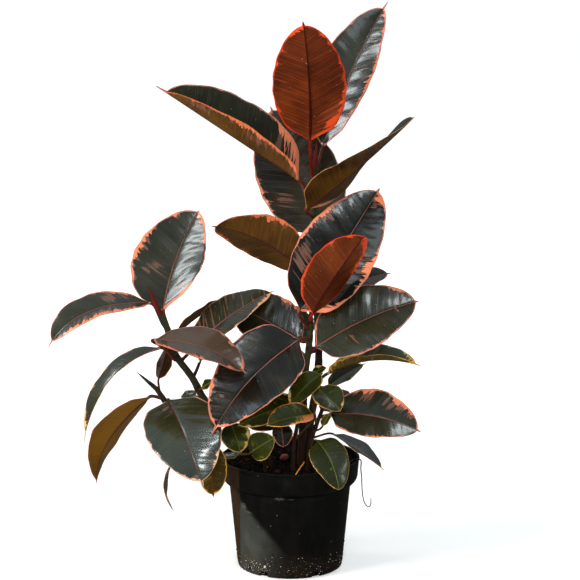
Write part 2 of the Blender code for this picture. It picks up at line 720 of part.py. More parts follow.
def add_litter():
    """A straw, a fallen bud and the loose root."""
    line = smooth_line(ROOT_STRAND, STRAND_STEP)
    mesh = tube("root_strand", line, [STRAND_RADIUS] * len(line), sides=6)
    add_object("root_strand", mesh, "litter")
    line = smooth_line(STRAW, STRAW_STEP)
    mesh = tube("straw", line, [STRAW_RADIUS] * len(line), sides=6)
    add_object("straw", mesh, "litter")
    line = smooth_line(FALLEN_BUD, BUD_STEP)
    last = len(line) - 1
    swell = [max(math.sin(math.pi * k / last), 0.0) ** BUD_BLUNTNESS for k in range(last + 1)]
    radii = [BUD_RADIUS * max(share, BUD_END_SHARE) for share in swell]
    add_object("fallen_bud", tube("fallen_bud", line, radii, sides=8), "red")


def main():
    """Clear the scene and build the plant."""
    for item in list(bpy.data.objects):
        bpy.data.objects.remove(item, do_unlink=True)
    add_pot()
    add_soil()
    add_stems()
    add_leaves()
    add_litter()


main()
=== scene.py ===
"""The looks of a ruby rubber plant in its black nursery pot.

Metres, +Z up. The origin is the centre of the pot's underside and -Y is the front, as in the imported
frame. Every leaf, stem, the soil, the pot and the litter is remade here as a finer piece that keeps
the form of the solid it stands for, and gets its veins, margins, bark, crumbs and colour.
"""

import logging
import math
from dataclasses import dataclass, field
from enum import Enum

import bmesh
import bpy
import numpy as np
from bpy.types import Material, Mesh, Node, NodeSocket, NodeTree, Object
from mathutils import Matrix, Vector, noise


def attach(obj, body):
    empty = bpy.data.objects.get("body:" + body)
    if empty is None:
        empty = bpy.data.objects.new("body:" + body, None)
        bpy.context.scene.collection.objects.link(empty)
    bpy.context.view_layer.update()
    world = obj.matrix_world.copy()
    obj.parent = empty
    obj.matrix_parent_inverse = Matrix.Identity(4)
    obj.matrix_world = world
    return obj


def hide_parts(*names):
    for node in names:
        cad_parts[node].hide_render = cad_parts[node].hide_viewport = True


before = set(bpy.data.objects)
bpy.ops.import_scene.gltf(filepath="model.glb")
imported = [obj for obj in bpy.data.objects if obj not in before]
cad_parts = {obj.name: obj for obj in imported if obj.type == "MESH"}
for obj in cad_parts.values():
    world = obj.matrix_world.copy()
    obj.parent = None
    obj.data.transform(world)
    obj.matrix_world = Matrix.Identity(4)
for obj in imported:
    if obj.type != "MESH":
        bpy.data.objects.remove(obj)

LOG = logging.getLogger("rubber_plant")
BODY = "root"

# Where the plant is looked at from. A leaf with no roll turns its upper side this way.
VIEWER = Vector((0.0, -0.98, 0.2)).normalized()


class Side(Enum):
    """The halves of a blade, seen from above with its tip up."""

    LEFT = -1.0
    RIGHT = 1.0


class LeafKind(Enum):
    """The kinds of leaf on the plant."""

    DARK = "dark"
    YOUNG = "young"
    GREEN = "green"
    GREY = "grey-green"
    OLIVE = "olive"

    def slot(self) -> str:
        """Return the record's material slot."""
        nearest = {LeafKind.GREY: LeafKind.GREEN, LeafKind.OLIVE: LeafKind.DARK}.get(self, self)
        return f"{nearest.value}_leaf"


class BladePart(Enum):
    """Which finish a face of a leaf takes."""

    UPPER = 0
    UNDER = 1
    STALK = 2


def linear(code: str) -> tuple[float, float, float, float]:
    """Turn a screen colour into the linear colour that a shader takes.

    Args:
        code: The colour as six hexadecimal digits.

    Returns:
        Red, green, blue and an alpha of 1.
    """
    parts = [int(code[k:k + 2], 16) / 255.0 for k in (0, 2, 4)]
    low = [value / 12.92 if value < 0.04045 else ((value + 0.055) / 1.055) ** 2.4 for value in parts]
    return (low[0], low[1], low[2], 1.0)


def smooth_rise(low: float, high: float, value: np.ndarray) -> np.ndarray:
    """Rise smoothly from 0 to 1 between two values."""
    t = np.clip((value - low) / (high - low), 0.0, 1.0)
    return t * t * (3.0 - 2.0 * t)


def across_direction(vector: Vector, axis: Vector) -> Vector:
    """Return the unit part of a vector that stands square to an axis."""
    return (vector - axis * vector.dot(axis)).normalized()


class Graph:
    """A short way to add and link the nodes of one shader or geometry tree."""

    def __init__(self, tree: NodeTree) -> None:
        """Keep the tree that the nodes go into."""
        self.tree = tree

    def node(self, kind: str, values: dict[str, object] | None = None, **settings: object) -> Node:
        """Add a node.

        Args:
            kind: The node's type.
            values: What its inputs take, by name.
            settings: Its properties by name.

        Returns:
            The new node.
        """
        made = self.tree.nodes.new(kind)
        for name, value in settings.items():
            setattr(made, name, value)
        self.fill(made, values or {})
        return made

    def feed(self, socket: NodeSocket, value: object) -> None:
        """Link a socket to another one, or set its number, its vector or its screen colour.

        Args:
            socket: The input.
            value: A socket, a number, a vector or a colour's code.
        """
        if isinstance(value, NodeSocket):
            self.tree.links.new(value, socket)
        else:
            socket.default_value = linear(value) if isinstance(value, str) else value

    def fill(self, node: Node, values: dict[str, object]) -> None:
        """Feed a node's inputs by name."""
        for name, value in values.items():
            self.feed(node.inputs[name], value)

    def in_order(self, node: Node, *values: object) -> Node:
        """Feed a node's first inputs in their order.

        Args:
            node: The node.
            values: What its inputs take.

        Returns:
            The same node.
        """
        for socket, value in zip(node.inputs, values):
            self.feed(socket, value)
        return node

    def math(self, operation: str, *values: object, clamp: bool = False) -> NodeSocket:
        """Do sums on up to three numbers or sockets; clamp keeps the result between 0 and 1."""
        made = self.node("ShaderNodeMath", operation=operation, use_clamp=clamp)
        return self.in_order(made, *values).outputs[0]

    def plus(self, first: object, second: object, clamp: bool = False) -> NodeSocket:
        """Add two values."""
        return self.math("ADD", first, second, clamp=clamp)

    def minus(self, first: object, second: object) -> NodeSocket:
        """Take the second value from the first."""
        return self.math("SUBTRACT", first, second)

    def times(self, first: object, second: object, clamp: bool = False) -> NodeSocket:
        """Multiply two values."""
        return self.math("MULTIPLY", first, second, clamp=clamp)

    def times_plus(self, first: object, second: object, third: object) -> NodeSocket:
        """Multiply the first two values and add the third."""
        return self.math("MULTIPLY_ADD", first, second, third)

    def rise(self, value: object, low: object, high: object, out_low: object = 0.0,
             out_high: object = 1.0) -> NodeSocket:
        """Map a value smoothly from the range low to high onto out_low to out_high."""
        made = self.node("ShaderNodeMapRange", interpolation_type="SMOOTHSTEP")
        return self.in_order(made, value, low, high, out_low, out_high).outputs["Result"]

    def mix(self, factor: object, first: object, second: object) -> NodeSocket:
        """Mix two colours.

        Args:
            factor: The share of the second one.
            first: A screen colour or a socket.
            second: A screen colour or a socket.

        Returns:
            The mixed colour's socket.
        """
        made = self.node("ShaderNodeMix", {"Factor": factor}, data_type="RGBA")
        self.feed(made.inputs[6], first)
        self.feed(made.inputs[7], second)
        return made.outputs[2]

    def join(self, x: object, y: object, z: object) -> NodeSocket:
        """Join three numbers into a vector."""
        return self.in_order(self.node("ShaderNodeCombineXYZ"), x, y, z).outputs[0]

    def split(self, vector: object) -> tuple[NodeSocket, ...]:
        """Split a vector into its three numbers."""
        return tuple(self.in_order(self.node("ShaderNodeSeparateXYZ"), vector).outputs)

    def scaled(self, vector: object, factor: object) -> NodeSocket:
        """Multiply a vector by a number."""
        made = self.node("ShaderNodeVectorMath", {"Vector": vector, "Scale": factor}, operation="SCALE")
        return made.outputs[0]

    def noise(self, vector: object, scale: object, detail: float = 2.0,
              roughness: float = 0.5) -> NodeSocket:
        """Read a noise, 0.5 on average, with finer layers as strong as roughness says."""
        return self.node("ShaderNodeTexNoise", {"Vector": vector, "Scale": scale, "Detail": detail,
                                                "Roughness": roughness}).outputs[0]

    def random_vector(self, low: tuple, high: tuple, seed: object) -> NodeSocket:
        """Draw a vector between low and high for each point."""
        return self.node("FunctionNodeRandomValue", {"Min": low, "Max": high, "Seed": seed},
                         data_type="FLOAT_VECTOR").outputs[0]

    def bump(self, height: object, strength: float, distance: float) -> NodeSocket:
        """Turn a height into a normal, where a height of 1 is distance metres deep."""
        return self.node("ShaderNodeBump", {"Strength": strength, "Distance": distance,
                                            "Height": height}).outputs["Normal"]

    def group(self, tree: NodeTree, values: dict[str, object]) -> bpy.types.bpy_prop_collection:
        """Place a shader group, feed it by name and return its outputs."""
        return self.node("ShaderNodeGroup", values, node_tree=tree).outputs

    def attribute(self, name: str, output: str = "Fac") -> NodeSocket:
        """Read one of the piece's own attributes in a shader."""
        return self.node("ShaderNodeAttribute", attribute_name=name).outputs[output]

    def named(self, name: str, kind: str = "FLOAT") -> NodeSocket:
        """Read one of the piece's own attributes in a geometry tree.

        Args:
            name: The attribute's name.
            kind: Its data type.

        Returns:
            The attribute's socket.
        """
        made = self.node("GeometryNodeInputNamedAttribute", data_type=kind)
        made.inputs["Name"].default_value = name
        return made.outputs["Attribute"]

    def object_coordinates(self) -> NodeSocket:
        """Read the place on the piece, in metres."""
        return self.node("ShaderNodeTexCoord").outputs["Object"]


def new_group(name: str, inputs: dict[str, str], outputs: dict[str, str],
              kind: str = "ShaderNodeTree") -> tuple[NodeTree, Graph, object]:
    """Start a node group.

    Args:
        name: Its name.
        inputs: The short type of each input, such as Float, by name.
        outputs: The short type of each output by name.
        kind: The type of its tree.

    Returns:
        The tree, a graph on it, and the sockets that it is given.
    """
    tree = bpy.data.node_groups.new(name, kind)
    for way, sockets in (("INPUT", inputs), ("OUTPUT", outputs)):
        for socket, short in sockets.items():
            tree.interface.new_socket(socket, in_out=way, socket_type=f"NodeSocket{short}")
    graph = Graph(tree)
    return tree, graph, graph.node("NodeGroupInput").outputs


# Shader groups


class LeafPattern:
    """The group that paints a blade: its margin, its patches, its ribs and its fine veins."""

    MARKS = ("Edge", "Margin", "Flare", "Patch", "Tone", "Cream", "Tint")
    COLOURS = ("Blade", "Blade Light", "Blade Brown", "Margin Bright", "Margin Deep",
               "Margin Cream", "Patch Colour", "Rib")
    NUMBERS = ("Rib Width", "Vein Strength", "Marbling")
    SLANT = 0.42
    VEIN_SPACING = 0.0088
    STRAY = 1.6
    WEDGE_STRENGTH = 0.8
    RIB_STRENGTH = 0.92
    CLOUD_FINENESS = 22.0
    SIDE_SHIFT = 7.3

    # Noises drawn out along the lateral veins: how fine from vein to vein and along a vein, per
    # metre, a shift that keeps them apart, and how many finer layers they have and how strong
    STREAKS = {
        "broad": (55.0, 12.0, 0.0), "jags": (280.0, 24.0, 3.0, 3.0, 0.62),
        "wedges": (240.0, 15.0, 29.0, 3.0), "fibres": (300.0, 14.0, 11.0, 3.0, 0.6),
        "blotches": (210.0, 110.0, 53.0, 3.0, 0.6), "clumps": (90.0, 20.0, 41.0),
        "wander": (40.0, 20.0, 17.0), "fine": (1000.0, 26.0, 23.0),
    }

    def __init__(self) -> None:
        """Build the group."""
        self.tree, self.graph, self.given = new_group(
            "leaf pattern",
            {"Place": "Vector", **dict.fromkeys(self.MARKS, "Float"),
             **dict.fromkeys(self.COLOURS, "Color"), **dict.fromkeys(self.NUMBERS, "Float")},
            {"Colour": "Color", "Height": "Float", "Gloss": "Float"})
        graph = self.graph
        self.along, self.across, self.seed = graph.split(self.given["Place"])
        self.out = graph.math("ABSOLUTE", self.across)
        side = graph.times(graph.math("SIGN", self.across), self.SIDE_SHIFT)
        self.own = graph.plus(self.seed, side)
        self.slanted = graph.minus(self.along, graph.times(self.out, self.SLANT))
        self.build()

    def streaks(self, name: str) -> NodeSocket:
        """Add one of the noises that are drawn out along the lateral veins.

        Args:
            name: Which of STREAKS.

        Returns:
            The noise, from 0 to 1.
        """
        along, across, shift, *layers = self.STREAKS[name]
        graph = self.graph
        place = graph.join(graph.times(self.slanted, along), graph.times(self.out, across),
                           graph.plus(self.own, shift))
        return graph.noise(place, 1.0, *layers)

    def edging(self, jags: object) -> tuple[NodeSocket, ...]:
        """Work out the pale margin and the muted wedges that run in from it.

        Args:
            jags: The narrow streaks.

        Returns:
            The margin's mask, the wedges' mask and how narrow the margin is.
        """
        graph = self.graph
        given = self.given
        broad = self.streaks("broad")
        stray = graph.times(given["Margin"], self.STRAY)
        reach = graph.times_plus(graph.rise(broad, 0.52, 0.7), stray, given["Flare"])
        width = graph.times(reach, graph.rise(jags, 0.36, 0.66, 0.28, 1.6))
        line = graph.times(given["Margin"], graph.rise(broad, 0.32, 0.66, 0.45, 1.2))
        width = graph.plus(width, line)
        narrow = graph.rise(reach, 0.0006, 0.0026, 1.0, 0.0)
        margin = graph.rise(graph.minus(width, given["Edge"]), -0.00015, 0.0002)
        wedges = graph.rise(self.streaks("wedges"), 0.47, 0.62, 0.0, 2.6)
        wide = graph.times_plus(reach, wedges, width)
        halo = graph.rise(graph.minus(wide, given["Edge"]), -0.0003, 0.0004)
        return margin, halo, narrow

    def patches(self, fine: object) -> NodeSocket:
        """Find the pale patches, which break up along the fibres.

        Args:
            fine: The finest streaks.

        Returns:
            The patches' mask.
        """
        graph = self.graph
        fibres = self.streaks("fibres")
        spread = graph.times_plus(graph.minus(self.streaks("blotches"), fibres),
                                  self.given["Marbling"], fibres)
        clumps = graph.times(self.streaks("clumps"), 0.4)
        level = graph.times_plus(self.given["Patch"], 0.3, graph.plus(spread, clumps))
        return graph.times(graph.rise(level, 0.945, 0.975), graph.rise(fine, 0.25, 0.65, 0.6, 0.95))

    def build(self) -> None:
        """Work out the masks and mix the colours."""
        graph = self.graph
        given = self.given
        fine = self.streaks("fine")
        jags = self.streaks("jags")
        margin, halo, narrow = self.edging(jags)

        rib_half = graph.times(given["Rib Width"], graph.rise(self.along, 0.0, 0.14, 1.7, 0.55))
        rib = graph.rise(graph.minus(rib_half, self.out), -0.00025, 0.00015)
        wander = graph.times(self.streaks("wander"), 0.9)
        step = graph.plus(graph.math("DIVIDE", self.slanted, self.VEIN_SPACING), wander)
        vein = graph.rise(graph.math("PINGPONG", step, 0.5), 0.0, 0.09, 1.0, 0.0)
        cloud = graph.noise(graph.join(graph.times(self.along, self.CLOUD_FINENESS),
                                       graph.times(self.across, self.CLOUD_FINENESS), self.seed),
                            1.0, 3.0)

        light = graph.plus(graph.rise(cloud, 0.35, 0.7, 0.0, 0.55),
                           graph.rise(fine, 0.4, 0.72, 0.0, 0.45))
        light = graph.plus(graph.times_plus(vein, 0.25, light), given["Tone"], clamp=True)
        lit = graph.mix(given["Tint"], given["Blade Light"], given["Blade Brown"])
        colour = graph.mix(light, given["Blade"], lit)
        colour = graph.mix(graph.times(halo, self.WEDGE_STRENGTH), colour, given["Patch Colour"])
        colour = graph.mix(self.patches(fine), colour, given["Patch Colour"])
        deep = graph.times(graph.rise(jags, 0.35, 0.65, 1.0, 0.0), 0.5)
        deep = graph.math("MAXIMUM", deep, graph.times(narrow, 0.9))
        warm = graph.mix(deep, given["Margin Bright"], given["Margin Deep"])
        colour = graph.mix(margin, colour, graph.mix(given["Cream"], warm, given["Margin Cream"]))
        colour = graph.mix(graph.times(rib, self.RIB_STRENGTH), colour, given["Rib"])

        groove = graph.times(vein, given["Vein Strength"])
        graph.node("NodeGroupOutput", {
            "Colour": colour,
            "Height": graph.times_plus(fine, 0.55, graph.minus(1.0, groove)),
            "Gloss": graph.times_plus(cloud, 0.17, graph.times(margin, 0.1))})


def dust_group() -> NodeTree:
    """Build the group that strews pale specks and a thin film of dust.

    Returns:
        The group's node tree.
    """
    tree, graph, given = new_group(
        "dust", {"Vector": "Vector", "Fineness": "Float", "Amount": "Float"},
        {"Specks": "Float", "Film": "Float"})
    cells = graph.node("ShaderNodeTexVoronoi",
                       {"Vector": given["Vector"], "Scale": given["Fineness"]}).outputs
    chance, extent, _ = graph.split(cells["Color"])
    wanted = graph.math("LESS_THAN", chance, given["Amount"])
    size = graph.times_plus(extent, 0.16, 0.05)
    spot = graph.rise(graph.minus(size, cells["Distance"]), -0.02, 0.03)
    film = graph.noise(given["Vector"], 38.0, 4.0, 0.6)
    graph.node("NodeGroupOutput",
               {"Specks": graph.times(spot, wanted), "Film": graph.rise(film, 0.38, 0.72)})
    return tree


def mottle_group() -> NodeTree:
    """Build the group of a broad and a fine grain that bark, plastic, soil and stalks share.

    Returns:
        The group's node tree.
    """
    tree, graph, given = new_group("mottle", {"Vector": "Vector", "Stretch": "Float"},
                                   {"Broad": "Float", "Fine": "Float"})
    x, y, z = graph.split(given["Vector"])
    place = graph.join(x, y, graph.times(z, given["Stretch"]))
    graph.node("NodeGroupOutput",
               {"Broad": graph.noise(place, 70.0, 3.0, 0.55),
                "Fine": graph.noise(place, 900.0, 3.0, 0.65)})
    return tree


class Groups:
    """The shader groups, each built once."""

    def __init__(self) -> None:
        """Build all three."""
        self.leaf = LeafPattern().tree
        self.dust = dust_group()
        self.mottle = mottle_group()

    def mottled(self, graph: Graph, stretch: float) -> bpy.types.bpy_prop_collection:
        """Lay the mottle on a piece, and return its outputs."""
        return graph.group(self.mottle, {"Vector": graph.object_coordinates(), "Stretch": stretch})

    def dusted(self, graph: Graph, fineness: float, amount: float) -> bpy.types.bpy_prop_collection:
        """Lay the dust on a piece, and return its outputs."""
        return graph.group(self.dust, {"Vector": graph.object_coordinates(), "Fineness": fineness,
                                       "Amount": amount})


def new_material(name: str) -> tuple[Material, Graph, Node]:
    """Start a material.

    Args:
        name: Its name.

    Returns:
        The material, a graph on its tree, and its Principled shader.
    """
    material = bpy.data.materials.new(name)
    material.use_nodes = True
    return material, Graph(material.node_tree), material.node_tree.nodes["Principled BSDF"]


# Finishes


@dataclass(frozen=True)
class BladeFinish:
    """One face of a leaf: its colours, how wide its rib is and how glossy it is."""

    name: str
    blade: str
    blade_light: str
    margin: str
    margin_deep: str
    patch: str
    rib: str
    cream: str = "d8b878"
    brown: str = "3e3026"
    dust: str = "c9c4b8"
    rib_width: float = 0.0006
    marbling: float = 0.0
    veins: float = 0.35
    roughness: float = 0.22
    specular: float = 0.5
    coat: float = 0.3
    bump: float = 0.6

    def material(self, groups: Groups) -> Material:
        """Make the material.

        Args:
            groups: The shader groups.

        Returns:
            The material.
        """
        material, graph, shader = new_material(self.name)
        pattern = graph.group(groups.leaf, {
            "Place": graph.attribute("place", "Vector"),
            **{name: graph.attribute(name.lower()) for name in LeafPattern.MARKS},
            "Blade": self.blade, "Blade Light": self.blade_light, "Blade Brown": self.brown,
            "Margin Bright": self.margin, "Margin Deep": self.margin_deep,
            "Margin Cream": self.cream, "Patch Colour": self.patch, "Rib": self.rib,
            "Rib Width": self.rib_width, "Vein Strength": self.veins, "Marbling": self.marbling})
        speck = graph.times(groups.dusted(graph, 420.0, 0.03)["Specks"], 0.4)
        graph.fill(shader, {
            "Base Color": graph.mix(speck, pattern["Colour"], self.dust),
            "Roughness": graph.plus(pattern["Gloss"], self.roughness),
            "Specular IOR Level": self.specular, "Coat Weight": self.coat, "Coat Roughness": 0.1,
            "Normal": graph.bump(pattern["Height"], self.bump, 0.00035)})
        return material


@dataclass(frozen=True)
class StalkFinish:
    """The skin of a leaf stalk, which fades from one colour to another in patches."""

    name: str
    colour: str
    second: str
    roughness: float = 0.38

    def material(self, groups: Groups) -> Material:
        """Make the material.

        Args:
            groups: The shader groups.

        Returns:
            The material.
        """
        material, graph, shader = new_material(self.name)
        mottle = groups.mottled(graph, 0.6)
        graph.fill(shader, {
            "Base Color": graph.mix(graph.rise(mottle["Broad"], 0.35, 0.65), self.colour, self.second),
            "Roughness": self.roughness,
            "Normal": graph.bump(mottle["Fine"], 0.3, 0.0003)})
        return material


@dataclass(frozen=True)
class BarkFinish:
    """A shoot's bark: green while young, brown below, dark at the scars and red on the bud."""

    name: str
    young: str = "2a3210"
    old: str = "2e180f"
    light: str = "5e4230"
    pore: str = "7a6048"
    scar: str = "140a06"
    bud: str = "5a1006"

    def material(self, groups: Groups) -> Material:
        """Make the material.

        Args:
            groups: The shader groups.

        Returns:
            The material.
        """
        material, graph, shader = new_material(self.name)
        mottle = groups.mottled(graph, 0.35)
        dust = groups.dusted(graph, 420.0, 0.1)
        age = graph.plus(graph.attribute("age"),
                         graph.rise(mottle["Broad"], 0.3, 0.7, -0.25, 0.25), clamp=True)
        colour = graph.mix(age, self.young, self.old)
        colour = graph.mix(graph.times(graph.rise(mottle["Fine"], 0.45, 0.75), 0.35), colour, self.light)
        colour = graph.mix(graph.times(dust["Specks"], 0.5), colour, self.pore)
        colour = graph.mix(graph.attribute("scar"), colour, self.scar)
        graph.fill(shader, {
            "Base Color": graph.mix(graph.attribute("bud"), colour, self.bud),
            "Roughness": graph.rise(mottle["Fine"], 0.3, 0.7, 0.42, 0.62),
            "Normal": graph.bump(mottle["Fine"], 0.6, 0.0005)})
        return material


@dataclass(frozen=True)
class PlasticFinish:
    """The pot's moulded plastic, dusty with soil near its foot, with a painted patch of light low on its
    left.

    Left of that patch's edge the plastic has a painted brown reflection. Right of it, the painted grey
    light lies under a slanting edge. A scuff is its middle, its height and half its width and its
    height.
    """

    name: str = "pot plastic"
    colour: str = "080807"
    second: str = "100e0b"
    dust: str = "a09c90"
    # The brown serves both the soil film at the foot and the painted reflection at the far left.
    dirt: str = "3e290f"
    # The next grey is the colour of the painted patch of light; the rim's dust film takes it too.
    lit_grey: str = "5c5e57"
    lit_grey_share: float = 0.46
    dust_top: float = 0.04
    lit_patch_edge: float = -0.0605
    lit_patch_height: float = 0.096
    lit_patch_slope: float = 1.06
    scuffs: tuple = ((-0.0125, 0.1035, 0.0075, 0.003), (0.0015, 0.1025, 0.0035, 0.0012),
                     (-0.0555, 0.087, 0.0035, 0.0045), (-0.05, 0.08, 0.004, 0.0016))

    def painted_light_mask(self, graph: Graph, film: object) -> NodeSocket:
        """Find the painted patch of light: grey under a slanting edge, low on the front's left.

        Args:
            graph: The material's graph.
            film: An uneven film that breaks it up.

        Returns:
            The mask.
        """
        x, y, z = graph.split(graph.object_coordinates())
        front = graph.rise(y, -0.01, -0.025)
        left = graph.rise(x, self.lit_patch_edge - 0.0004, self.lit_patch_edge + 0.0004)
        run = graph.times(graph.minus(x, self.lit_patch_edge), self.lit_patch_slope)
        under = graph.rise(graph.minus(graph.minus(self.lit_patch_height, run), z), -0.002, 0.01)
        fade = graph.rise(x, -0.052, 0.006, 1.0, 0.0)
        mask = graph.times(graph.times(front, left), graph.times(under, fade))
        return graph.times(mask, graph.rise(film, 0.0, 1.0, 0.7, 1.0))

    def painted_reflection_mask(self, graph: Graph, broad: object) -> NodeSocket:
        """Find the painted brown reflection left of the painted patch of light, which thins towards the
        back.

        Args:
            graph: The material's graph.
            broad: A broad grain that makes it uneven.

        Returns:
            The mask.
        """
        x, y, _ = graph.split(graph.object_coordinates())
        mask = graph.times(graph.rise(y, -0.014, 0.036, 1.0, 0.0),
                           graph.rise(x, self.lit_patch_edge - 0.0006, self.lit_patch_edge, 0.75, 0.0))
        return graph.times(mask, graph.rise(broad, 0.35, 0.65, 0.7, 1.0))

    def scuff_mask(self, graph: Graph) -> NodeSocket:
        """Find the rubbed spots on the front.

        Args:
            graph: The material's graph.

        Returns:
            The mask.
        """
        x, y, z = graph.split(graph.object_coordinates())
        rubbed = graph.noise(graph.join(graph.times(x, 500.0), 0.0, graph.times(z, 1300.0)),
                             1.0, 3.0, 0.7)
        total = 0.0
        for middle, height, half_x, half_z in self.scuffs:
            far_x = graph.math("DIVIDE", graph.minus(x, middle), half_x)
            far_z = graph.math("DIVIDE", graph.minus(z, height), half_z)
            far = graph.times_plus(far_x, far_x, graph.times(far_z, far_z))
            total = graph.plus(total, graph.rise(far, 0.2, 1.0, 1.0, 0.0))
        spots = graph.times(total, graph.rise(rubbed, 0.5, 0.6))
        return graph.times(spots, graph.rise(y, 0.0, -0.02), clamp=True)

    def material(self, groups: Groups) -> Material:
        """Make the material.

        Args:
            groups: The shader groups.

        Returns:
            The material.
        """
        material, graph, shader = new_material(self.name)
        height = graph.split(graph.object_coordinates())[2]
        mottle = groups.mottled(graph, 0.3)
        dust = groups.dusted(graph, 560.0, 0.22)
        stray = groups.dusted(graph, 260.0, 0.035)
        patchy = graph.times(graph.rise(height, 0.004, self.dust_top, 1.0, 0.0),
                             graph.rise(dust["Film"], 0.0, 0.8, 0.35, 1.0))
        colour = graph.mix(graph.rise(mottle["Broad"], 0.3, 0.7), self.colour, self.second)
        # Painted patch of light: the black plastic is lightened to grey low on the front's left, under a
        # slanting edge.
        lit_grey = self.painted_light_mask(graph, dust["Film"])
        colour = graph.mix(graph.times(lit_grey, self.lit_grey_share), colour, self.lit_grey)
        # A thin dust film near the rim takes the same grey as the painted patch of light.
        rim_dust = graph.times(graph.rise(height, 0.085, 0.11),
                               graph.rise(dust["Film"], 0.3, 1.0, 0.0, 0.03))
        colour = graph.mix(rim_dust, colour, self.lit_grey)
        # The brown is a soil film near the foot and, at the far left, a painted reflection.
        film = graph.math("MAXIMUM", graph.times(patchy, 0.3), self.painted_reflection_mask(graph, mottle["Broad"]))
        colour = graph.mix(film, colour, self.dirt)
        specks = graph.times(dust["Specks"], patchy)
        specks = graph.math("MAXIMUM", specks, graph.times(stray["Specks"], 0.4))
        specks = graph.math("MAXIMUM", specks, graph.times(self.scuff_mask(graph), 0.6))
        matt = graph.times_plus(lit_grey, 0.12, graph.times(patchy, 0.25))
        graph.fill(shader, {
            "Base Color": graph.mix(graph.times(specks, 0.85), colour, self.dust),
            "Roughness": graph.plus(graph.rise(mottle["Broad"], 0.3, 0.7, 0.4, 0.52), matt),
            "Specular IOR Level": 0.16,
            "Normal": graph.bump(graph.times_plus(specks, 1.5, mottle["Fine"]), 0.35, 0.0003)})
        return material


@dataclass(frozen=True)
class EarthFinish:
    """Damp peat, or the white grains or the bark chips in it."""

    name: str
    colour: str
    second: str
    roughness: float = 0.9

    def material(self, groups: Groups) -> Material:
        """Make the material.

        Args:
            groups: The shader groups.

        Returns:
            The material.
        """
        material, graph, shader = new_material(self.name)
        mottle = groups.mottled(graph, 1.0)
        share = graph.times_plus(mottle["Broad"], 0.5, graph.times(mottle["Fine"], 0.5))
        graph.fill(shader, {
            "Base Color": graph.mix(graph.rise(share, 0.35, 0.65), self.colour, self.second),
            "Roughness": self.roughness, "Specular IOR Level": 0.15,
            "Normal": graph.bump(mottle["Fine"], 0.8, 0.0006)})
        return material


@dataclass(frozen=True)
class FloorFinish:
    """The pale studio floor, which the camera sees nearly white far from the lights too."""

    colour: str = "f4f4f4"
    second: str = "efefef"
    mirrored: str = "50504c"
    near_lift: float = 0.2
    far_lift: float = 0.78
    near: float = 0.2
    far: float = 2.2

    def material(self) -> Material:
        """Make the material, with a very faint unevenness.

        Returns:
            The material.
        """
        material, graph, shader = new_material("studio floor")
        place = graph.object_coordinates()
        rays = graph.node("ShaderNodeLightPath").outputs
        pale = graph.mix(graph.noise(place, 3.0), self.colour, self.second)
        distance = graph.node("ShaderNodeVectorMath", {"Vector": place}, operation="LENGTH")
        lift = graph.rise(distance.outputs["Value"], self.near, self.far, self.near_lift, self.far_lift)
        graph.fill(shader, {
            "Base Color": graph.mix(rays["Is Glossy Ray"], pale, self.mirrored),
            "Roughness": 0.9, "Specular IOR Level": 0.1, "Emission Color": "ffffff",
            "Emission Strength": graph.times(rays["Is Camera Ray"], lift)})
        return material


BLADE_FINISHES = {
    (LeafKind.DARK, BladePart.UPPER): BladeFinish(
        "dark leaf, upper side", "0d0c06", "2b2b1c", "e07e56", "b26c5a", "6e4c40", "7a4038",
        brown="4e3e32", rib_width=0.00045, roughness=0.17),
    (LeafKind.DARK, BladePart.UNDER): BladeFinish(
        "dark leaf, underside", "2c1a03", "643f08", "e07444", "b05836", "7c4a34", "44120a",
        brown="785004", rib_width=0.0009, veins=1.0, roughness=0.36, specular=0.32, coat=0.0),
    # The young leaves' vivid red margins are partly their own colour and partly a painted glow of light
    # through the thin edges.
    (LeafKind.YOUNG, BladePart.UPPER): BladeFinish(
        "young leaf, upper side", "2a120a", "4a1e10", "f04418", "c82410", "7a3420", "8a2010"),
    (LeafKind.YOUNG, BladePart.UNDER): BladeFinish(
        "young leaf, underside", "461601", "742e03", "e04812", "b82c0a", "84381c", "300604",
        brown="7c3801", rib_width=0.0011, veins=1.0, roughness=0.27, specular=0.26, coat=0.0),
    (LeafKind.GREEN, BladePart.UPPER): BladeFinish(
        "green leaf, upper side", "161a02", "343a06", "dcb870", "b08440", "50560f", "4c5418",
        cream="cc6e38", rib_width=0.0004, marbling=0.85, specular=0.35, coat=0.15),
    (LeafKind.GREEN, BladePart.UNDER): BladeFinish(
        "green leaf, underside", "2a3006", "545416", "d8a450", "b07430", "7a6a28", "6c5a24",
        rib_width=0.0006, roughness=0.42, specular=0.2, coat=0.0),
    (LeafKind.OLIVE, BladePart.UPPER): BladeFinish(
        "olive leaf, upper side", "12180a", "2e3816", "d8a44c", "b08438", "5c5a28", "4c3a1c",
        cream="d8b454", brown="3a3c14", rib_width=0.0006, marbling=0.6),
    (LeafKind.OLIVE, BladePart.UNDER): BladeFinish(
        "olive leaf, underside", "342a06", "665414", "e0a83c", "b8802c", "80682a", "4a2a10",
        cream="d0a440", rib_width=0.0008, roughness=0.42, specular=0.16, coat=0.0),
    (LeafKind.GREY, BladePart.UPPER): BladeFinish(
        "grey-green leaf, upper side", "161a0c", "383e28", "f0c8b0", "c88c7a", "6e5044", "54281e",
        rib_width=0.0006, roughness=0.16, specular=1.0, coat=1.0),
    (LeafKind.GREY, BladePart.UNDER): BladeFinish(
        "grey-green leaf, underside", "2c2008", "5c4614", "e89868", "b0603c", "7a4c34", "4a160c",
        rib_width=0.001, veins=0.8, roughness=0.42, specular=0.22, coat=0.0),
}
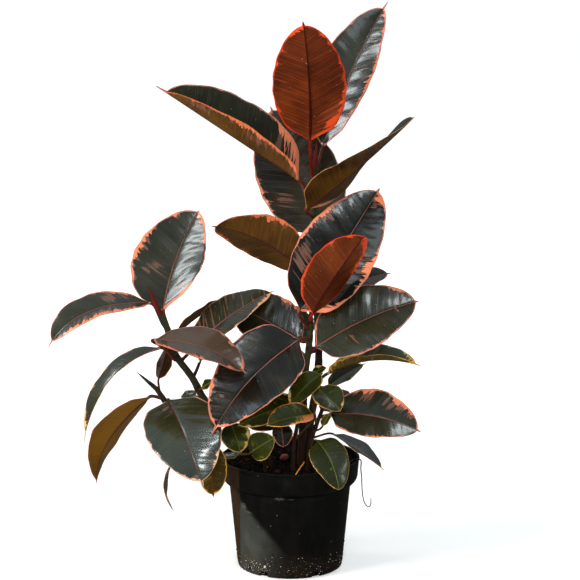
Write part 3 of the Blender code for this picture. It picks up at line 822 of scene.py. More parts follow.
STALK_FINISHES = {
    LeafKind.DARK: StalkFinish("dark leaf stalk", "4a120a", "5e2414"),
    LeafKind.YOUNG: StalkFinish("young leaf stalk", "6a0c06", "8a1c0c"),
    LeafKind.GREEN: StalkFinish("green leaf stalk", "4a2210", "4c4214"),
    LeafKind.GREY: StalkFinish("grey-green leaf stalk", "4a1a0e", "4a2c14"),
    LeafKind.OLIVE: StalkFinish("olive leaf stalk", "3c2410", "4a3a14"),
}
PEAT = EarthFinish("peat", "050302", "170e08", 0.95)
PERLITE = EarthFinish("white grains", "a8a296", "e0dcd0", 0.85)
CHIPS = EarthFinish("bark chips", "2a1208", "5a2c18", 0.8)
ROOT_SKIN = StalkFinish("dry root", "1c100a", "3e2a20", 0.7)
STRAW_SKIN = StalkFinish("straw", "8a4a14", "c07c2c", 0.55)
BUD_SKIN = StalkFinish("shed bud scale", "6a2c1c", "96483a", 0.5)


# Geometry trees


def new_geometry_tree(name: str, inputs: dict[str, str]) -> tuple[NodeTree, Graph, object]:
    """Start a geometry tree."""
    return new_group(name, {"Geometry": "Geometry", **inputs}, {"Geometry": "Geometry"},
                     "GeometryNodeTree")


def end_geometry_tree(graph: Graph, geometry: NodeSocket, finishes: dict) -> None:
    """Close a tree with Realize Instances and Set Material.

    Args:
        graph: The tree's graph.
        geometry: What the tree has made.
        finishes: The selection of each material's faces, or None for all, by the material's socket.
    """
    last = graph.node("GeometryNodeRealizeInstances", {"Geometry": geometry}).outputs[0]
    for socket, chosen in finishes.items():
        selection = {} if chosen is None else {"Selection": chosen}
        last = graph.node("GeometryNodeSetMaterial",
                          {"Geometry": last, "Material": socket, **selection}).outputs[0]
    graph.node("NodeGroupOutput", {"Geometry": last})


def moved_along_normal(graph: Graph, geometry: object, distance: object) -> NodeSocket:
    """Move every point of a surface along its normal by a distance."""
    push = graph.scaled(graph.node("GeometryNodeInputNormal").outputs[0], distance)
    return graph.node("GeometryNodeSetPosition", {"Geometry": geometry, "Offset": push}).outputs[0]


def vein_relief_tree() -> NodeTree:
    """Build the tree that sinks the lateral veins into a blade's upper side.

    Returns:
        The tree. The underside follows, so the blade keeps its thickness.
    """
    tree, graph, given = new_geometry_tree("vein relief", {
        "Vein Spacing": "Float", "Vein Slant": "Float", "Vein Depth": "Float",
        "Upper Finish": "Material", "Under Finish": "Material", "Stalk Finish": "Material"})
    along, across, seed = graph.split(graph.named("place", "FLOAT_VECTOR"))
    out = graph.math("ABSOLUTE", across)
    slanted = graph.minus(along, graph.times(out, given["Vein Slant"]))
    drift = graph.noise(graph.join(graph.times(slanted, 40.0), graph.times(out, 20.0), seed), 1.0)
    step = graph.plus(graph.math("DIVIDE", slanted, given["Vein Spacing"]), drift)
    wave = graph.math("COSINE", graph.times(step, 2.0 * math.pi))
    groove = graph.math("POWER", graph.times_plus(wave, 0.5, 0.5), 3.0)
    depth = graph.times(groove, graph.times(graph.named("relief"), given["Vein Depth"]))
    part = graph.named("part")
    chosen = {}
    for name, blade_part in (("Upper Finish", BladePart.UPPER), ("Under Finish", BladePart.UNDER),
                             ("Stalk Finish", BladePart.STALK)):
        same = graph.node("FunctionNodeCompare",
                          {"A": part, "B": float(blade_part.value), "Epsilon": 0.1},
                          data_type="FLOAT", operation="EQUAL")
        chosen[given[name]] = same.outputs["Result"]
    end_geometry_tree(graph, moved_along_normal(graph, given["Geometry"], depth), chosen)
    return tree


def shoot_tree() -> NodeTree:
    """Build the tree that skins a line into a round shoot with an uneven surface.

    Returns:
        The tree. The line's thickness comes from its own attribute.
    """
    tree, graph, given = new_geometry_tree("shoot", {
        "Sides": "Int", "Unevenness": "Float", "Grain": "Float", "Finish": "Material"})
    line = graph.node("GeometryNodeMeshToCurve", {"Mesh": given["Geometry"]})
    ring = graph.node("GeometryNodeCurvePrimitiveCircle",
                      {"Resolution": given["Sides"], "Radius": 1.0}, mode="RADIUS")
    skin = graph.node("GeometryNodeCurveToMesh", {
        "Curve": line.outputs[0], "Profile Curve": ring.outputs["Curve"],
        "Scale": graph.named("thickness"), "Fill Caps": True})
    rough = graph.noise(graph.node("GeometryNodeInputPosition").outputs[0], given["Grain"], 3.0)
    swing = graph.times(graph.minus(rough, 0.5), given["Unevenness"])
    moved = moved_along_normal(graph, skin.outputs[0], swing)
    smooth = graph.node("GeometryNodeSetShadeSmooth", {"Geometry": moved})
    end_geometry_tree(graph, smooth.outputs[0], {given["Finish"]: None})
    return tree


def crumb_tree() -> NodeTree:
    """Build the tree that strews small uneven grains on a surface.

    Returns:
        The tree. Only the grains come out, and their density follows the surface's own attribute.
    """
    tree, graph, given = new_geometry_tree("crumbs", {
        "Density": "Float", "Smallest": "Float", "Largest": "Float", "Seed": "Int",
        "Finish": "Material"})
    seed = given["Seed"]
    strew = graph.node("GeometryNodeDistributePointsOnFaces", {
        "Mesh": given["Geometry"], "Seed": seed,
        "Density": graph.times(given["Density"], graph.named("crumbs"))}, distribute_method="RANDOM")
    grain = graph.node("GeometryNodeMeshIcoSphere", {"Radius": 1.0, "Subdivisions": 1})
    dent = graph.noise(graph.node("GeometryNodeInputPosition").outputs[0], 1.3)
    dented = moved_along_normal(graph, grain.outputs["Mesh"], graph.times_plus(dent, 1.1, -0.6))
    turn = graph.random_vector((0.0, 0.0, 0.0), (2.0 * math.pi,) * 3, seed)
    size = graph.node("FunctionNodeRandomValue", {"Seed": graph.plus(seed, 5.0)}, data_type="FLOAT")
    size.inputs[2].default_value = 0.0
    size.inputs[3].default_value = 1.0
    spread = graph.math("POWER", size.outputs[1], 2.0)
    grow = graph.minus(given["Largest"], given["Smallest"])
    stretch = graph.random_vector((0.6, 0.6, 0.5), (1.3, 1.1, 0.9), graph.plus(seed, 9.0))
    put = graph.node("GeometryNodeInstanceOnPoints", {
        "Points": strew.outputs["Points"], "Instance": dented, "Rotation": turn,
        "Scale": graph.scaled(stretch, graph.times_plus(spread, grow, given["Smallest"]))})
    end_geometry_tree(graph, put.outputs[0], {given["Finish"]: None})
    return tree


def add_tree(item: Object, tree: NodeTree, values: dict[str, object]) -> None:
    """Put a geometry tree on an object and set its inputs by their sockets' identifiers.

    Args:
        item: The object.
        tree: The geometry tree.
        values: The inputs by name.
    """
    modifier = item.modifiers.new(tree.name, "NODES")
    modifier.node_group = tree
    for socket in tree.interface.items_tree:
        if socket.item_type == "SOCKET" and socket.in_out == "INPUT" and socket.name in values:
            modifier[socket.identifier] = values[socket.name]


def combine(item: Object, other: Object, operation: str) -> None:
    """Add a boolean modifier that joins another object to an item or cuts it away.

    Args:
        item: The item that keeps the result.
        other: The other object.
        operation: Blender's name of the boolean operation.
    """
    modifier = item.modifiers.new(other.name, "BOOLEAN")
    modifier.operation = operation
    modifier.solver = "EXACT"
    modifier.object = other


def bake(*items: Object) -> None:
    """Turn what the modifiers make into plain meshes, with their faces pointing outwards.

    Args:
        items: The objects, which lose their modifiers.
    """
    bpy.context.view_layer.update()
    graph = bpy.context.evaluated_depsgraph_get()
    meshes = [bpy.data.meshes.new_from_object(item.evaluated_get(graph)) for item in items]
    for item, mesh in zip(items, meshes):
        item.modifiers.clear()
        item.data = mesh
        turn_outwards(mesh)


def turn_outwards(mesh: Mesh) -> None:
    """Turn a closed mesh right side out if it holds a negative volume.

    Args:
        mesh: The mesh.
    """
    count = len(mesh.polygons)
    centres = np.empty(count * 3, np.float32)
    normals = np.empty(count * 3, np.float32)
    areas = np.empty(count, np.float32)
    for name, values in (("center", centres), ("normal", normals), ("area", areas)):
        mesh.polygons.foreach_get(name, values)
    height = (centres.reshape(-1, 3) * normals.reshape(-1, 3)).sum(1)
    if float((height * areas).sum()) < 0.0:
        mesh.flip_normals()


def mesh_of(name: str, shape: bmesh.types.BMesh) -> Mesh:
    """Turn a finished shape into a named mesh.

    Args:
        name: The mesh's name.
        shape: The shape, which is freed.

    Returns:
        The mesh.
    """
    mesh = bpy.data.meshes.new(name)
    shape.to_mesh(mesh)
    shape.free()
    return mesh


def add_rings(shape: bmesh.types.BMesh, rings: list[list[tuple]]) -> list[list[bmesh.types.BMVert]]:
    """Add closed rings of points to a shape and join each to the next with faces.

    Args:
        shape: The shape.
        rings: The points, ring by ring.

    Returns:
        The new vertices, ring by ring.
    """
    layers = [[shape.verts.new(point) for point in ring] for ring in rings]
    for low, high in zip(layers, layers[1:]):
        for k in range(len(low)):
            after = (k + 1) % len(low)
            shape.faces.new((low[k], low[after], high[after], high[k]))
    return layers


def circle(radius: float, height: float, sides: int) -> list[tuple[float, float, float]]:
    """Return the points of a level circle round the pot's axis."""
    angles = np.linspace(0.0, 2 * math.pi, sides, endpoint=False)
    return [(radius * math.cos(a), radius * math.sin(a), height) for a in angles]


def new_object(name: str, mesh: Mesh) -> Object:
    """Put a mesh in the scene under a name.

    Args:
        name: The object's name.
        mesh: Its mesh.

    Returns:
        The object.
    """
    item = bpy.data.objects.new(name, mesh)
    bpy.context.scene.collection.objects.link(item)
    return item


def declare(item: Object, slot: str, *nodes: str) -> None:
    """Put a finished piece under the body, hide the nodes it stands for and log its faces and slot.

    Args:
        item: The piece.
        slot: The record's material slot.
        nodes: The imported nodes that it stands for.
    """
    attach(item, BODY)
    if nodes:
        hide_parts(*nodes)
    LOG.info("%s: %d faces, slot %s", item.name, len(item.data.polygons), slot)


def set_attribute(mesh: Mesh, name: str, values: np.ndarray, kind: str = "FLOAT",
                  domain: str = "POINT") -> None:
    """Store one attribute on a mesh.

    Args:
        mesh: The mesh.
        name: The attribute's name.
        values: One row for each point or face.
        kind: FLOAT or FLOAT_VECTOR.
        domain: POINT or FACE.
    """
    made = mesh.attributes.new(name, kind, domain)
    made.data.foreach_set("vector" if kind == "FLOAT_VECTOR" else "value",
                          np.ascontiguousarray(values, np.float32).ravel())


# Stems


@dataclass
class Stem:
    """A round shoot: its centre line from its foot to its top, its thickness and its top bud."""

    node: str
    points: tuple
    radius: float
    tip_radius: float
    scars: tuple = ()
    bud: tuple = ()
    bud_radius: float = 0.0
    old_below: float = 0.2
    green_above: float = 0.34
    sides: int = 20

    STEP = 0.0012
    SCAR_HALF = 0.002
    SCAR_DENT = 0.05
    SCAR_DARKNESS = 0.75
    SWELLING = 0.12
    SWELLING_HALF = 0.004
    BUD_SHAPE = ((0.0, 1.0), (0.12, 1.0), (0.35, 0.85), (0.7, 0.5), (1.0, 0.1))
    BUD_EASE = 0.12
    BUD_FADE = 0.1

    def line(self) -> list[Vector]:
        """Return points about a step apart on a smooth curve through the stem's own points."""
        return smooth_line(self.points, self.STEP)

    def radius_at(self, height: float) -> float:
        """Find the radius at a height, with a small swelling at each leaf scar.

        Args:
            height: The height over the floor.

        Returns:
            The radius.
        """
        share = (height - self.points[0][2]) / (self.points[-1][2] - self.points[0][2])
        radius = self.radius + (self.tip_radius - self.radius) * share
        swelling = sum(math.exp(-(((height - scar) / self.SWELLING_HALF) ** 2)) for scar in self.scars)
        return radius * (1.0 + self.SWELLING * min(swelling, 1.0))

    def at_height(self, height: float) -> tuple[Vector, Vector]:
        """Find the centre and the direction of the stem at a height.

        Args:
            height: The height over the floor.

        Returns:
            The centre and the direction.
        """
        line = self.line()
        for low, high in zip(line, line[1:]):
            if low.z <= height <= high.z:
                share = (height - low.z) / (high.z - low.z)
                return low.lerp(high, share), (high - low).normalized()
        return line[-1], (line[-1] - line[-2]).normalized()

    def skeleton(self) -> Mesh:
        """Make the line that the shoot's tree skins.

        Returns:
            A mesh of edges with the thickness, age, scars and bud at each point.
        """
        line = self.line()
        rings = [max((math.exp(-(((point.z - scar) / self.SCAR_HALF) ** 2)) for scar in self.scars),
                     default=0.0) for point in line]
        thickness = [self.radius_at(point.z) * (1.0 - self.SCAR_DENT * ring**4)
                     for point, ring in zip(line, rings)]
        bud = [0.0] * len(line)
        if self.bud:
            start = line[-1].copy()
            steps = max(6, round((Vector(self.bud) - start).length / self.STEP))
            shape = np.array(self.BUD_SHAPE)
            for share in (k / steps for k in range(1, steps + 1)):
                line.append(start.lerp(Vector(self.bud), share))
                wide = float(np.interp(share, shape[:, 0], shape[:, 1])) * self.bud_radius
                ease = min(share / self.BUD_EASE, 1.0)
                thickness.append(self.tip_radius + (wide - self.tip_radius) * ease)
                rings.append(0.0)
                bud.append(min(share / self.BUD_FADE, 1.0))
        heights = np.array([point.z for point in line])
        return line_mesh(self.node, line, {
            "thickness": np.array(thickness), "scar": np.array(rings) * self.SCAR_DARKNESS,
            "bud": np.array(bud), "age": 1.0 - smooth_rise(self.old_below, self.green_above, heights)})


def line_mesh(name: str, line: list[Vector], marks: dict[str, np.ndarray]) -> Mesh:
    """Make a line of edges with attributes on its points.

    Args:
        name: The mesh's name.
        line: Its points.
        marks: The attributes' values by name.

    Returns:
        The mesh.
    """
    mesh = bpy.data.meshes.new(name)
    mesh.from_pydata(line, [(k, k + 1) for k in range(len(line) - 1)], [])
    for mark, values in marks.items():
        set_attribute(mesh, mark, values)
    return mesh


def smooth_line(points: tuple, step: float) -> list[Vector]:
    """Read a smooth curve through points.

    Args:
        points: The points.
        step: How far apart the result's points are, about.

    Returns:
        Points of the curve, from its first point to its last.
    """
    own = [Vector(point) for point in points]
    ends = [own[0] * 2 - own[1]] + own + [own[-1] * 2 - own[-2]]
    line = []
    for a, b, c, d in zip(ends, ends[1:], ends[2:], ends[3:]):
        pieces = max(1, round((c - b).length / step))
        for k in range(pieces):
            t = k / pieces
            straight = b * 2 + (c - a) * t
            bend = (a * 2 - b * 5 + c * 4 - d) * t * t
            turn = (b * 3 - a - c * 3 + d) * t * t * t
            line.append((straight + bend + turn) * 0.5)
    line.append(own[-1])
    return line


SOIL_TOP = 0.128
HOLE_FLOOR = 0.104
STEM_COLLAR = 0.004
GAP = 0.0003


def rooted(x: float, y: float, *path: tuple) -> tuple:
    """Return a stem's points: straight up out of the soil, then along the path."""
    return ((x, y, HOLE_FLOOR + GAP), (x, y, SOIL_TOP + STEM_COLLAR)) + path


STEMS = {
    "tall": Stem(
        "tall_stem",
        rooted(0.021, 0.02, (0.022, 0.02, 0.151), (0.026, 0.02, 0.182), (0.032, 0.02, 0.214),
               (0.035, 0.02, 0.251), (0.034, 0.02, 0.289), (0.031, 0.019, 0.338),
               (0.029, 0.018, 0.388), (0.028, 0.016, 0.431), (0.029, 0.014, 0.468),
               (0.03, 0.012, 0.49)),
        radius=0.0052, tip_radius=0.0034,
        scars=(0.165, 0.2, 0.222, 0.247, 0.33, 0.372, 0.43, 0.452),
        bud=(0.032, 0.011, 0.52), bud_radius=0.0034, old_below=0.24, green_above=0.42),
    "front": Stem(
        "front_stem",
        rooted(0.013, -0.012, (0.015, -0.012, 0.172), (0.017, -0.013, 0.216), (0.019, -0.013, 0.247),
               (0.023, -0.012, 0.277), (0.025, -0.012, 0.309)),
        radius=0.005, tip_radius=0.0036, scars=(0.2, 0.235, 0.274, 0.286),
        bud=(0.024, -0.012, 0.321), bud_radius=0.003, old_below=0.2, green_above=0.27),
    "left": Stem(
        "left_stem",
        rooted(-0.026, -0.018, (-0.034, -0.018, 0.147), (-0.064, -0.02, 0.174),
               (-0.1, -0.02, 0.208), (-0.118, -0.018, 0.239), (-0.138, -0.016, 0.267),
               (-0.146, -0.015, 0.295), (-0.155, -0.015, 0.314)),
        radius=0.005, tip_radius=0.0038, scars=(0.19, 0.226, 0.264, 0.292),
        bud=(-0.169, -0.024, 0.352), bud_radius=0.004, old_below=0.16, green_above=0.32),
    "low": Stem(
        "low_branch",
        ((-0.078, -0.02, 0.187), (-0.1, -0.023, 0.187), (-0.124, -0.024, 0.19),
         (-0.146, -0.025, 0.206), (-0.16, -0.025, 0.226)),
        radius=0.004, tip_radius=0.003, scars=(0.2, 0.214),
        bud=(-0.183, -0.034, 0.249), bud_radius=0.0028),
    "twig": Stem(
        "small_twig",
        ((-0.117, -0.018, 0.238), (-0.112, -0.016, 0.248), (-0.109, -0.014, 0.256)),
        radius=0.0022, tip_radius=0.0018, sides=12),
    "sucker": Stem(
        "right_sucker",
        rooted(0.022, -0.03, (0.025, -0.031, 0.162), (0.032, -0.031, 0.184), (0.038, -0.031, 0.2)),
        radius=0.0034, tip_radius=0.0024, scars=(0.158, 0.18),
        bud=(0.041, -0.031, 0.214), bud_radius=0.0026, sides=14),
    "centre": Stem(
        "centre_sucker",
        rooted(0.004, -0.034, (0.005, -0.034, 0.16), (0.009, -0.035, 0.186)),
        radius=0.003, tip_radius=0.0024, scars=(0.15, 0.17),
        bud=(0.011, -0.036, 0.196), bud_radius=0.0024, sides=14),
    "basal": Stem(
        "left_sucker",
        rooted(-0.03, -0.042, (-0.032, -0.042, 0.15), (-0.036, -0.042, 0.166)),
        radius=0.0026, tip_radius=0.002, scars=(0.145,),
        bud=(-0.038, -0.042, 0.176), bud_radius=0.002, sides=14),
}

# The shoots that grow out of the left stem, and are one piece with it
SIDE_SHOOTS = ("low", "twig")


@dataclass
class Shoots:
    """All the stems, skinned by one geometry tree."""

    unevenness: float = 0.00045
    grain: float = 260.0
    finish: BarkFinish = field(default_factory=lambda: BarkFinish("young bark"))

    def build(self, groups: Groups, tree: NodeTree) -> None:
        """Skin every stem, join the side shoots to theirs and hand them to the frame.

        Args:
            groups: The shader groups.
            tree: The shoot tree.
        """
        bark = self.finish.material(groups)
        made = {}
        for key, stem in STEMS.items():
            made[key] = new_object(f"{stem.node}_bark", stem.skeleton())
            add_tree(made[key], tree, {"Sides": stem.sides, "Unevenness": self.unevenness,
                                       "Grain": self.grain, "Finish": bark})
        bake(*made.values())
        for key in SIDE_SHOOTS:
            combine(made["left"], made[key], "UNION")
        bake(made["left"])
        for key in SIDE_SHOOTS:
            bpy.data.objects.remove(made.pop(key))
        for key, item in made.items():
            declare(item, "stem", STEMS[key].node)


# Leaves


@dataclass(frozen=True)
class Flare:
    """A stretch of margin that is wider than the rest, in metres at its widest."""

    side: Side
    centre: float
    reach: float
    width: float


@dataclass(frozen=True)
class Patch:
    """A pale patch: its place along the blade and across it from -1 to 1, and its strength."""

    share: float
    across: float
    strength: float = 1.0
    reach: float = 0.12


@dataclass(frozen=True)
class Look:
    """How one leaf is marked: its margin's width, its tone, how creamy and how brown it is. A raised
    tone is partly painted sheen on upper_left, left_arch and mid_left and partly painted glow on
    left_hanging; a lowered one is partly painted shade on front_tall and big_front.
    """

    margin: float = 0.001
    left: float = 1.0
    right: float = 1.0
    patchiness: float = 0.0
    tone: float = 0.0
    cream: float = 0.0
    tint: float = 0.0
    flares: tuple = ()
    patches: tuple = ()


@dataclass
class Leaf:
    """A leaf: a stalk from its stem to the blade's base, and a blade from its base to its tip.

    foot is the height on the stem at which the stalk leaves it. roll is how far the upper side
    turns away from the viewer, in degrees, as a right-handed screw that runs from base to tip.
    arch lifts the middle of the midrib towards the upper side, and crest is how far along the
    blade the arch is highest. fold raises both halves, in degrees, twist turns the blade from
    base to tip, and sway bends it to the right of one who looks at its upper side, tip up. drip is
    the share of the length that the thin tip takes, and a smaller lean widens the blade's base.
    """

    name: str
    stem: str
    foot: float
    base: tuple
    tip: tuple
    width: float
    roll: float
    arch: float = 0.0
    crest: float = 0.5
    fold: float = 10.0
    twist: float = 0.0
    sway: float = 0.0
    drip: float = 0.05
    lean: float = 0.86
    kind: LeafKind = LeafKind.DARK
    look: Look = Look()

    SMALL_WIDTH = 0.046
    STALK_RADIUS = 0.002
    SMALL_STALK_RADIUS = 0.0013
    SKIN = 0.00032
    EDGE_SKIN = 0.00018
    RIB_DEPTH = 0.0014
    RIB_HALF = 0.0011
    GROOVE_DEPTH = 0.0004
    STALK_PULL = 0.95
    STALK_RINGS = 14
    EDGE_WAVE = 0.0012
    FINE_WAVE = 0.0005
    SWELL = 0.00034
    SWELL_SPACING = 0.023
    CAMBER = 0.035
    RINGS = 104
    SMALL_RINGS = 46
    PLACES = 17
    SMALL_PLACES = 11
    WIDTH_WAVE = 0.01
    WIDTH_WAVES = 7.0
    EDGE_WAVES = 1.6
    FINE_WAVES = 3.7
    SWELL_WIDTH = 0.04
    SMALL_WAVE_SHARE = 0.4
    SMALL_RIB_SHARE = 0.6
    TIP_MARGIN = 0.0008
    FAR_FROM_EDGE = 0.02
    PATCH_ACROSS = 0.28

    def small(self) -> bool:
        """Say whether the leaf is one of the small ones."""
        return self.width < self.SMALL_WIDTH

    def seed(self) -> int:
        """Return a number of the leaf's own, from its place in the list."""
        return 1 + [leaf.name for leaf in LEAVES].index(self.name)

    def stalk_radius(self) -> float:
        """Return half the thickness of the stalk."""
        return self.SMALL_STALK_RADIUS if self.small() else self.STALK_RADIUS

    def face(self) -> Vector:
        """Return the direction that the middle of the upper side looks."""
        line = (Vector(self.tip) - Vector(self.base)).normalized()
        return Matrix.Rotation(math.radians(self.roll), 3, line) @ across_direction(VIEWER, line)

    def midrib(self, share: float) -> tuple[Vector, Vector, Vector]:
        """Find the point, the direction and the up side of the midrib at a share of its length.

        Args:
            share: How far along the blade, from 0 to 1.

        Returns:
            The point, the direction and the up side.
        """
        base = Vector(self.base)
        tip = Vector(self.tip)
        face = self.face()
        right = (tip - base).cross(face).normalized()
        pull = base.lerp(tip, self.crest) + face * 2.0 * self.arch + right * 2.0 * self.sway
        point = base.lerp(pull, share).lerp(pull.lerp(tip, share), share)
        along = (pull - base).lerp(tip - pull, share).normalized()
        turn = Matrix.Rotation(math.radians(self.twist) * (share - 0.5), 3, along)
        return point, along, turn @ across_direction(face, along)

    def half_widths(self, shares: np.ndarray) -> np.ndarray:
        """Find half the blade's width: oblong and round at both ends, with a thin drip tip.

        Args:
            shares: How far along the blade, from 0 to 1.

        Returns:
            Half the width at each.
        """
        end = 1.0 - 0.8 * self.drip
        inner = np.clip(shares / end, 1e-6, 1.0 - 1e-6)
        swell = 0.5 * self.width * np.sin(math.pi * inner**self.lean) ** 0.55
        left = np.clip((1.0 - shares) / (2.2 * self.drip), 0.0, 1.0)
        tail = (0.0004 + min(0.0046, 0.07 * self.width) * left**1.15) * smooth_rise(0.6, 0.8, shares)
        narrow = self.stalk_radius() + (0.0003 - self.stalk_radius()) * shares
        return np.maximum((swell**2.5 + tail**2.5) ** 0.4, narrow)

    def stalk_frames(self) -> list[tuple[Vector, Vector, Vector, float]]:
        """Follow the stalk from inside the stem's skin to the blade.

        Returns:
            The point, the direction, the up side and the radius of each ring.
        """
        base, base_along, up = self.midrib(0.0)
        stem = STEMS[self.stem]
        centre, axis = stem.at_height(self.foot)
        outward = across_direction(base - centre, axis)
        foot = centre + outward * stem.radius_at(self.foot) * 0.7
        pull = (base - foot).length * self.STALK_PULL
        lift = min(max((base - foot).normalized().dot(axis), 0.0), 1.0)
        outward = (outward * (1.0 - 0.45 * lift) + axis * 0.9 * lift).normalized()
        frames = []
        for k in reversed(range(self.STALK_RINGS)):
            share = k / self.STALK_RINGS
            square = share * share
            cube = square * share
            point = (foot * (2 * cube - 3 * square + 1) + outward * pull * (cube - 2 * square + share)
                     + base * (3 * square - 2 * cube) + base_along * pull * (cube - square))
            along = (foot * (6 * square - 6 * share) + outward * pull * (3 * square - 4 * share + 1)
                     + base * (6 * share - 6 * square) + base_along * pull * (3 * square - 2 * share))
            along = along.normalized()
            up = across_direction(up, along)
            radius = self.stalk_radius() * (1.0 + 0.35 * math.exp(-((share / 0.12) ** 2)))
            frames.insert(0, (point, along, up, radius))
        return frames

    def across_places(self) -> np.ndarray:
        """Return the places across the blade, from -1 to 1, closer together near the midrib."""
        half = np.linspace(0.0, 1.0, self.SMALL_PLACES if self.small() else self.PLACES) ** 1.45
        return np.concatenate([-half[:0:-1], half])

    def mesh(self) -> Mesh:
        """Loft the stalk and the blade as one closed mesh with its attributes.

        Returns:
            The mesh.
        """
        t = np.linspace(0.0, 1.0, self.SMALL_RINGS if self.small() else self.RINGS)
        shares = 0.72 * t + 0.28 * (1.0 - np.cos(math.pi * t)) / 2.0
        stalk = self.stalk_frames()
        blade = [self.midrib(float(share)) + (self.stalk_radius(),) for share in shares]
        points, along, up, radius = (np.array(column) for column in zip(*stalk, *blade))
        side = np.cross(along, up)
        share = np.concatenate([np.full(len(stalk), -1.0), shares])
        steps = np.linalg.norm(np.diff(points[len(stalk):], axis=0), axis=1)
        length = np.concatenate([np.zeros(len(stalk) + 1), np.cumsum(steps)])
        places = self.across_places()
        upper, lower, rim = self.sections(places, share, radius)
        ring_xz = np.concatenate([upper, rim[:, 1:2], lower[:, ::-1], rim[:, 0:1]], axis=1)
        co = (points[:, None, :] + side[:, None, :] * ring_xz[..., 0:1]
              + up[:, None, :] * ring_xz[..., 1:2])
        ring_places = np.concatenate([places, [1.0], places[::-1], [-1.0]])
        return self.closed_loft(co, ring_places, share, length)

    def blade_section(self, v: np.ndarray, s: np.ndarray, half: np.ndarray,
                      flat: np.ndarray) -> tuple[np.ndarray, np.ndarray]:
        """Work out the middle of the blade's section, with its folds, waves and swells.

        Args:
            v: The places across the blade, as a row.
            s: The shares along the blade, as a column.
            half: Half the blade's width at each share.
            flat: How flat the section is at each share, from 0 on the stalk to 1.

        Returns:
            Each point's offsets to the side and up.
        """
        seed = self.seed()
        circle_turn = 2 * math.pi
        fold = math.radians(self.fold) * flat
        bulge = np.sin(math.pi * s)
        ripple = self.EDGE_WAVE * np.sin(circle_turn * self.EDGE_WAVES * s) * bulge
        wave_place = circle_turn * (self.FINE_WAVES * s + 0.21 * seed) + np.sign(v) * 1.3
        fine = self.FINE_WAVE * np.sin(wave_place) * bulge * v * v
        fine = fine * (self.SMALL_WAVE_SHARE if self.small() else 1.0)
        camber = self.CAMBER * half * (np.abs(v) - v * v) * 4.0 * 0.5 * flat
        size = (Vector(self.tip) - Vector(self.base)).length
        swell_place = (s * size - LeafPattern.SLANT * half * np.abs(v)) / self.SWELL_SPACING
        swell_turn = circle_turn * (swell_place + 0.37 * seed) + np.sign(v) * (1.1 + seed)
        swell_turn = swell_turn + 1.9 * np.sin(circle_turn * (1.3 * s + 0.29 * seed) + 2.0 * v)
        wide = np.minimum(half / self.SWELL_WIDTH, 1.0) ** 2 * flat
        camber = camber + self.SWELL * np.sin(swell_turn) * np.sin(math.pi * np.abs(v)) * wide
        lift = np.abs(v) * half * np.sin(fold)
        return v * half * np.cos(fold), lift + ripple * v * np.abs(v) + fine + camber

    def sections(self, places: np.ndarray, share: np.ndarray,
                 radius: np.ndarray) -> tuple[np.ndarray, np.ndarray, np.ndarray]:
        """Work out each ring's upper row, lower row and two rim points.

        Args:
            places: The places across the blade.
            share: The share along the blade, -1 on the stalk.
            radius: The stalk's radius at each ring.

        Returns:
            Three arrays of (side, up) offsets.
        """
        v = places[None, :]
        s = np.clip(share, 0.0, 1.0)[:, None]
        on_blade = (share >= 0.0)[:, None]
        flat = np.where(on_blade, smooth_rise(-0.04, 0.1, s), 0.0)
        thin = np.where(on_blade, smooth_rise(-0.015, 0.02 + 0.08 * (1.0 - np.abs(v)), s), 0.0)
        width_wave = np.sin(2 * math.pi * (self.WIDTH_WAVES * s + 0.37 * self.seed())) * (s > 0.05)
        half = self.half_widths(s[:, 0])[:, None] * (1.0 + self.WIDTH_WAVE * width_wave)
        turn = math.pi / 2.0 - v * math.radians(85.0)
        round_x = np.cos(turn) * radius[:, None]
        round_z = np.sin(turn) * radius[:, None]
        blade_x, blade_z = self.blade_section(v, s, half, flat)
        skin = self.SKIN + (self.EDGE_SKIN - self.SKIN) * np.abs(v) ** 2
        near_rib = np.exp(-((np.abs(v) * half / self.RIB_HALF) ** 2))
        scale = self.SMALL_RIB_SHARE if self.small() else 1.0
        rib = self.RIB_DEPTH * (1.0 - 0.75 * s) * near_rib * scale
        groove = self.GROOVE_DEPTH * (1.0 - 0.5 * s) * near_rib * scale
        x = round_x + (blade_x - round_x) * flat
        top = round_z * (1.0 - thin) + (blade_z + skin - groove) * thin
        bottom = -round_z * (1.0 - thin) + (blade_z - skin - rib) * thin
        upper = np.stack(np.broadcast_arrays(x, top), axis=-1)
        lower = np.stack(np.broadcast_arrays(x, bottom), axis=-1)
        middle = (upper[:, [0, -1]] + lower[:, [0, -1]]) / 2.0
        middle[:, :, 0] += self.EDGE_SKIN * np.array([-1.0, 1.0])
        return upper, lower, middle

    def closed_loft(self, co: np.ndarray, ring_places: np.ndarray, share: np.ndarray,
                    length: np.ndarray) -> Mesh:
        """Join the rings with faces and store what the shader and the veins read.

        Args:
            co: The points, ring by ring.
            ring_places: The place across the blade of each point of a ring.
            share: The share along the blade of each ring.
            length: The distance along the midrib of each ring.

        Returns:
            The mesh.
        """
        rows, columns = co.shape[:2]
        index = np.arange(rows * columns).reshape(rows, columns)
        after = np.roll(index, -1, axis=1)
        quads = np.stack([index[:-1], after[:-1], after[1:], index[1:]], axis=-1).reshape(-1, 4)
        faces = quads.tolist() + [index[0, ::-1].tolist(), index[-1].tolist()]
        mesh = bpy.data.meshes.new(f"{self.name}_leaf")
        mesh.from_pydata(co.reshape(-1, 3).tolist(), [], faces)
        turn_outwards(mesh)
        mesh.shade_smooth()
        on_top = np.arange(columns) < columns // 2 - 1
        part = np.where(on_top, BladePart.UPPER.value, BladePart.UNDER.value)
        part = np.broadcast_to(part, (rows - 1, columns)).copy()
        part[share[1:] <= 0.0] = BladePart.STALK.value
        part = np.concatenate([part.ravel(), [BladePart.STALK.value, BladePart.UPPER.value]])
        set_attribute(mesh, "part", part, domain="FACE")
        self.store_marks(mesh, ring_places, share, length)
        return mesh

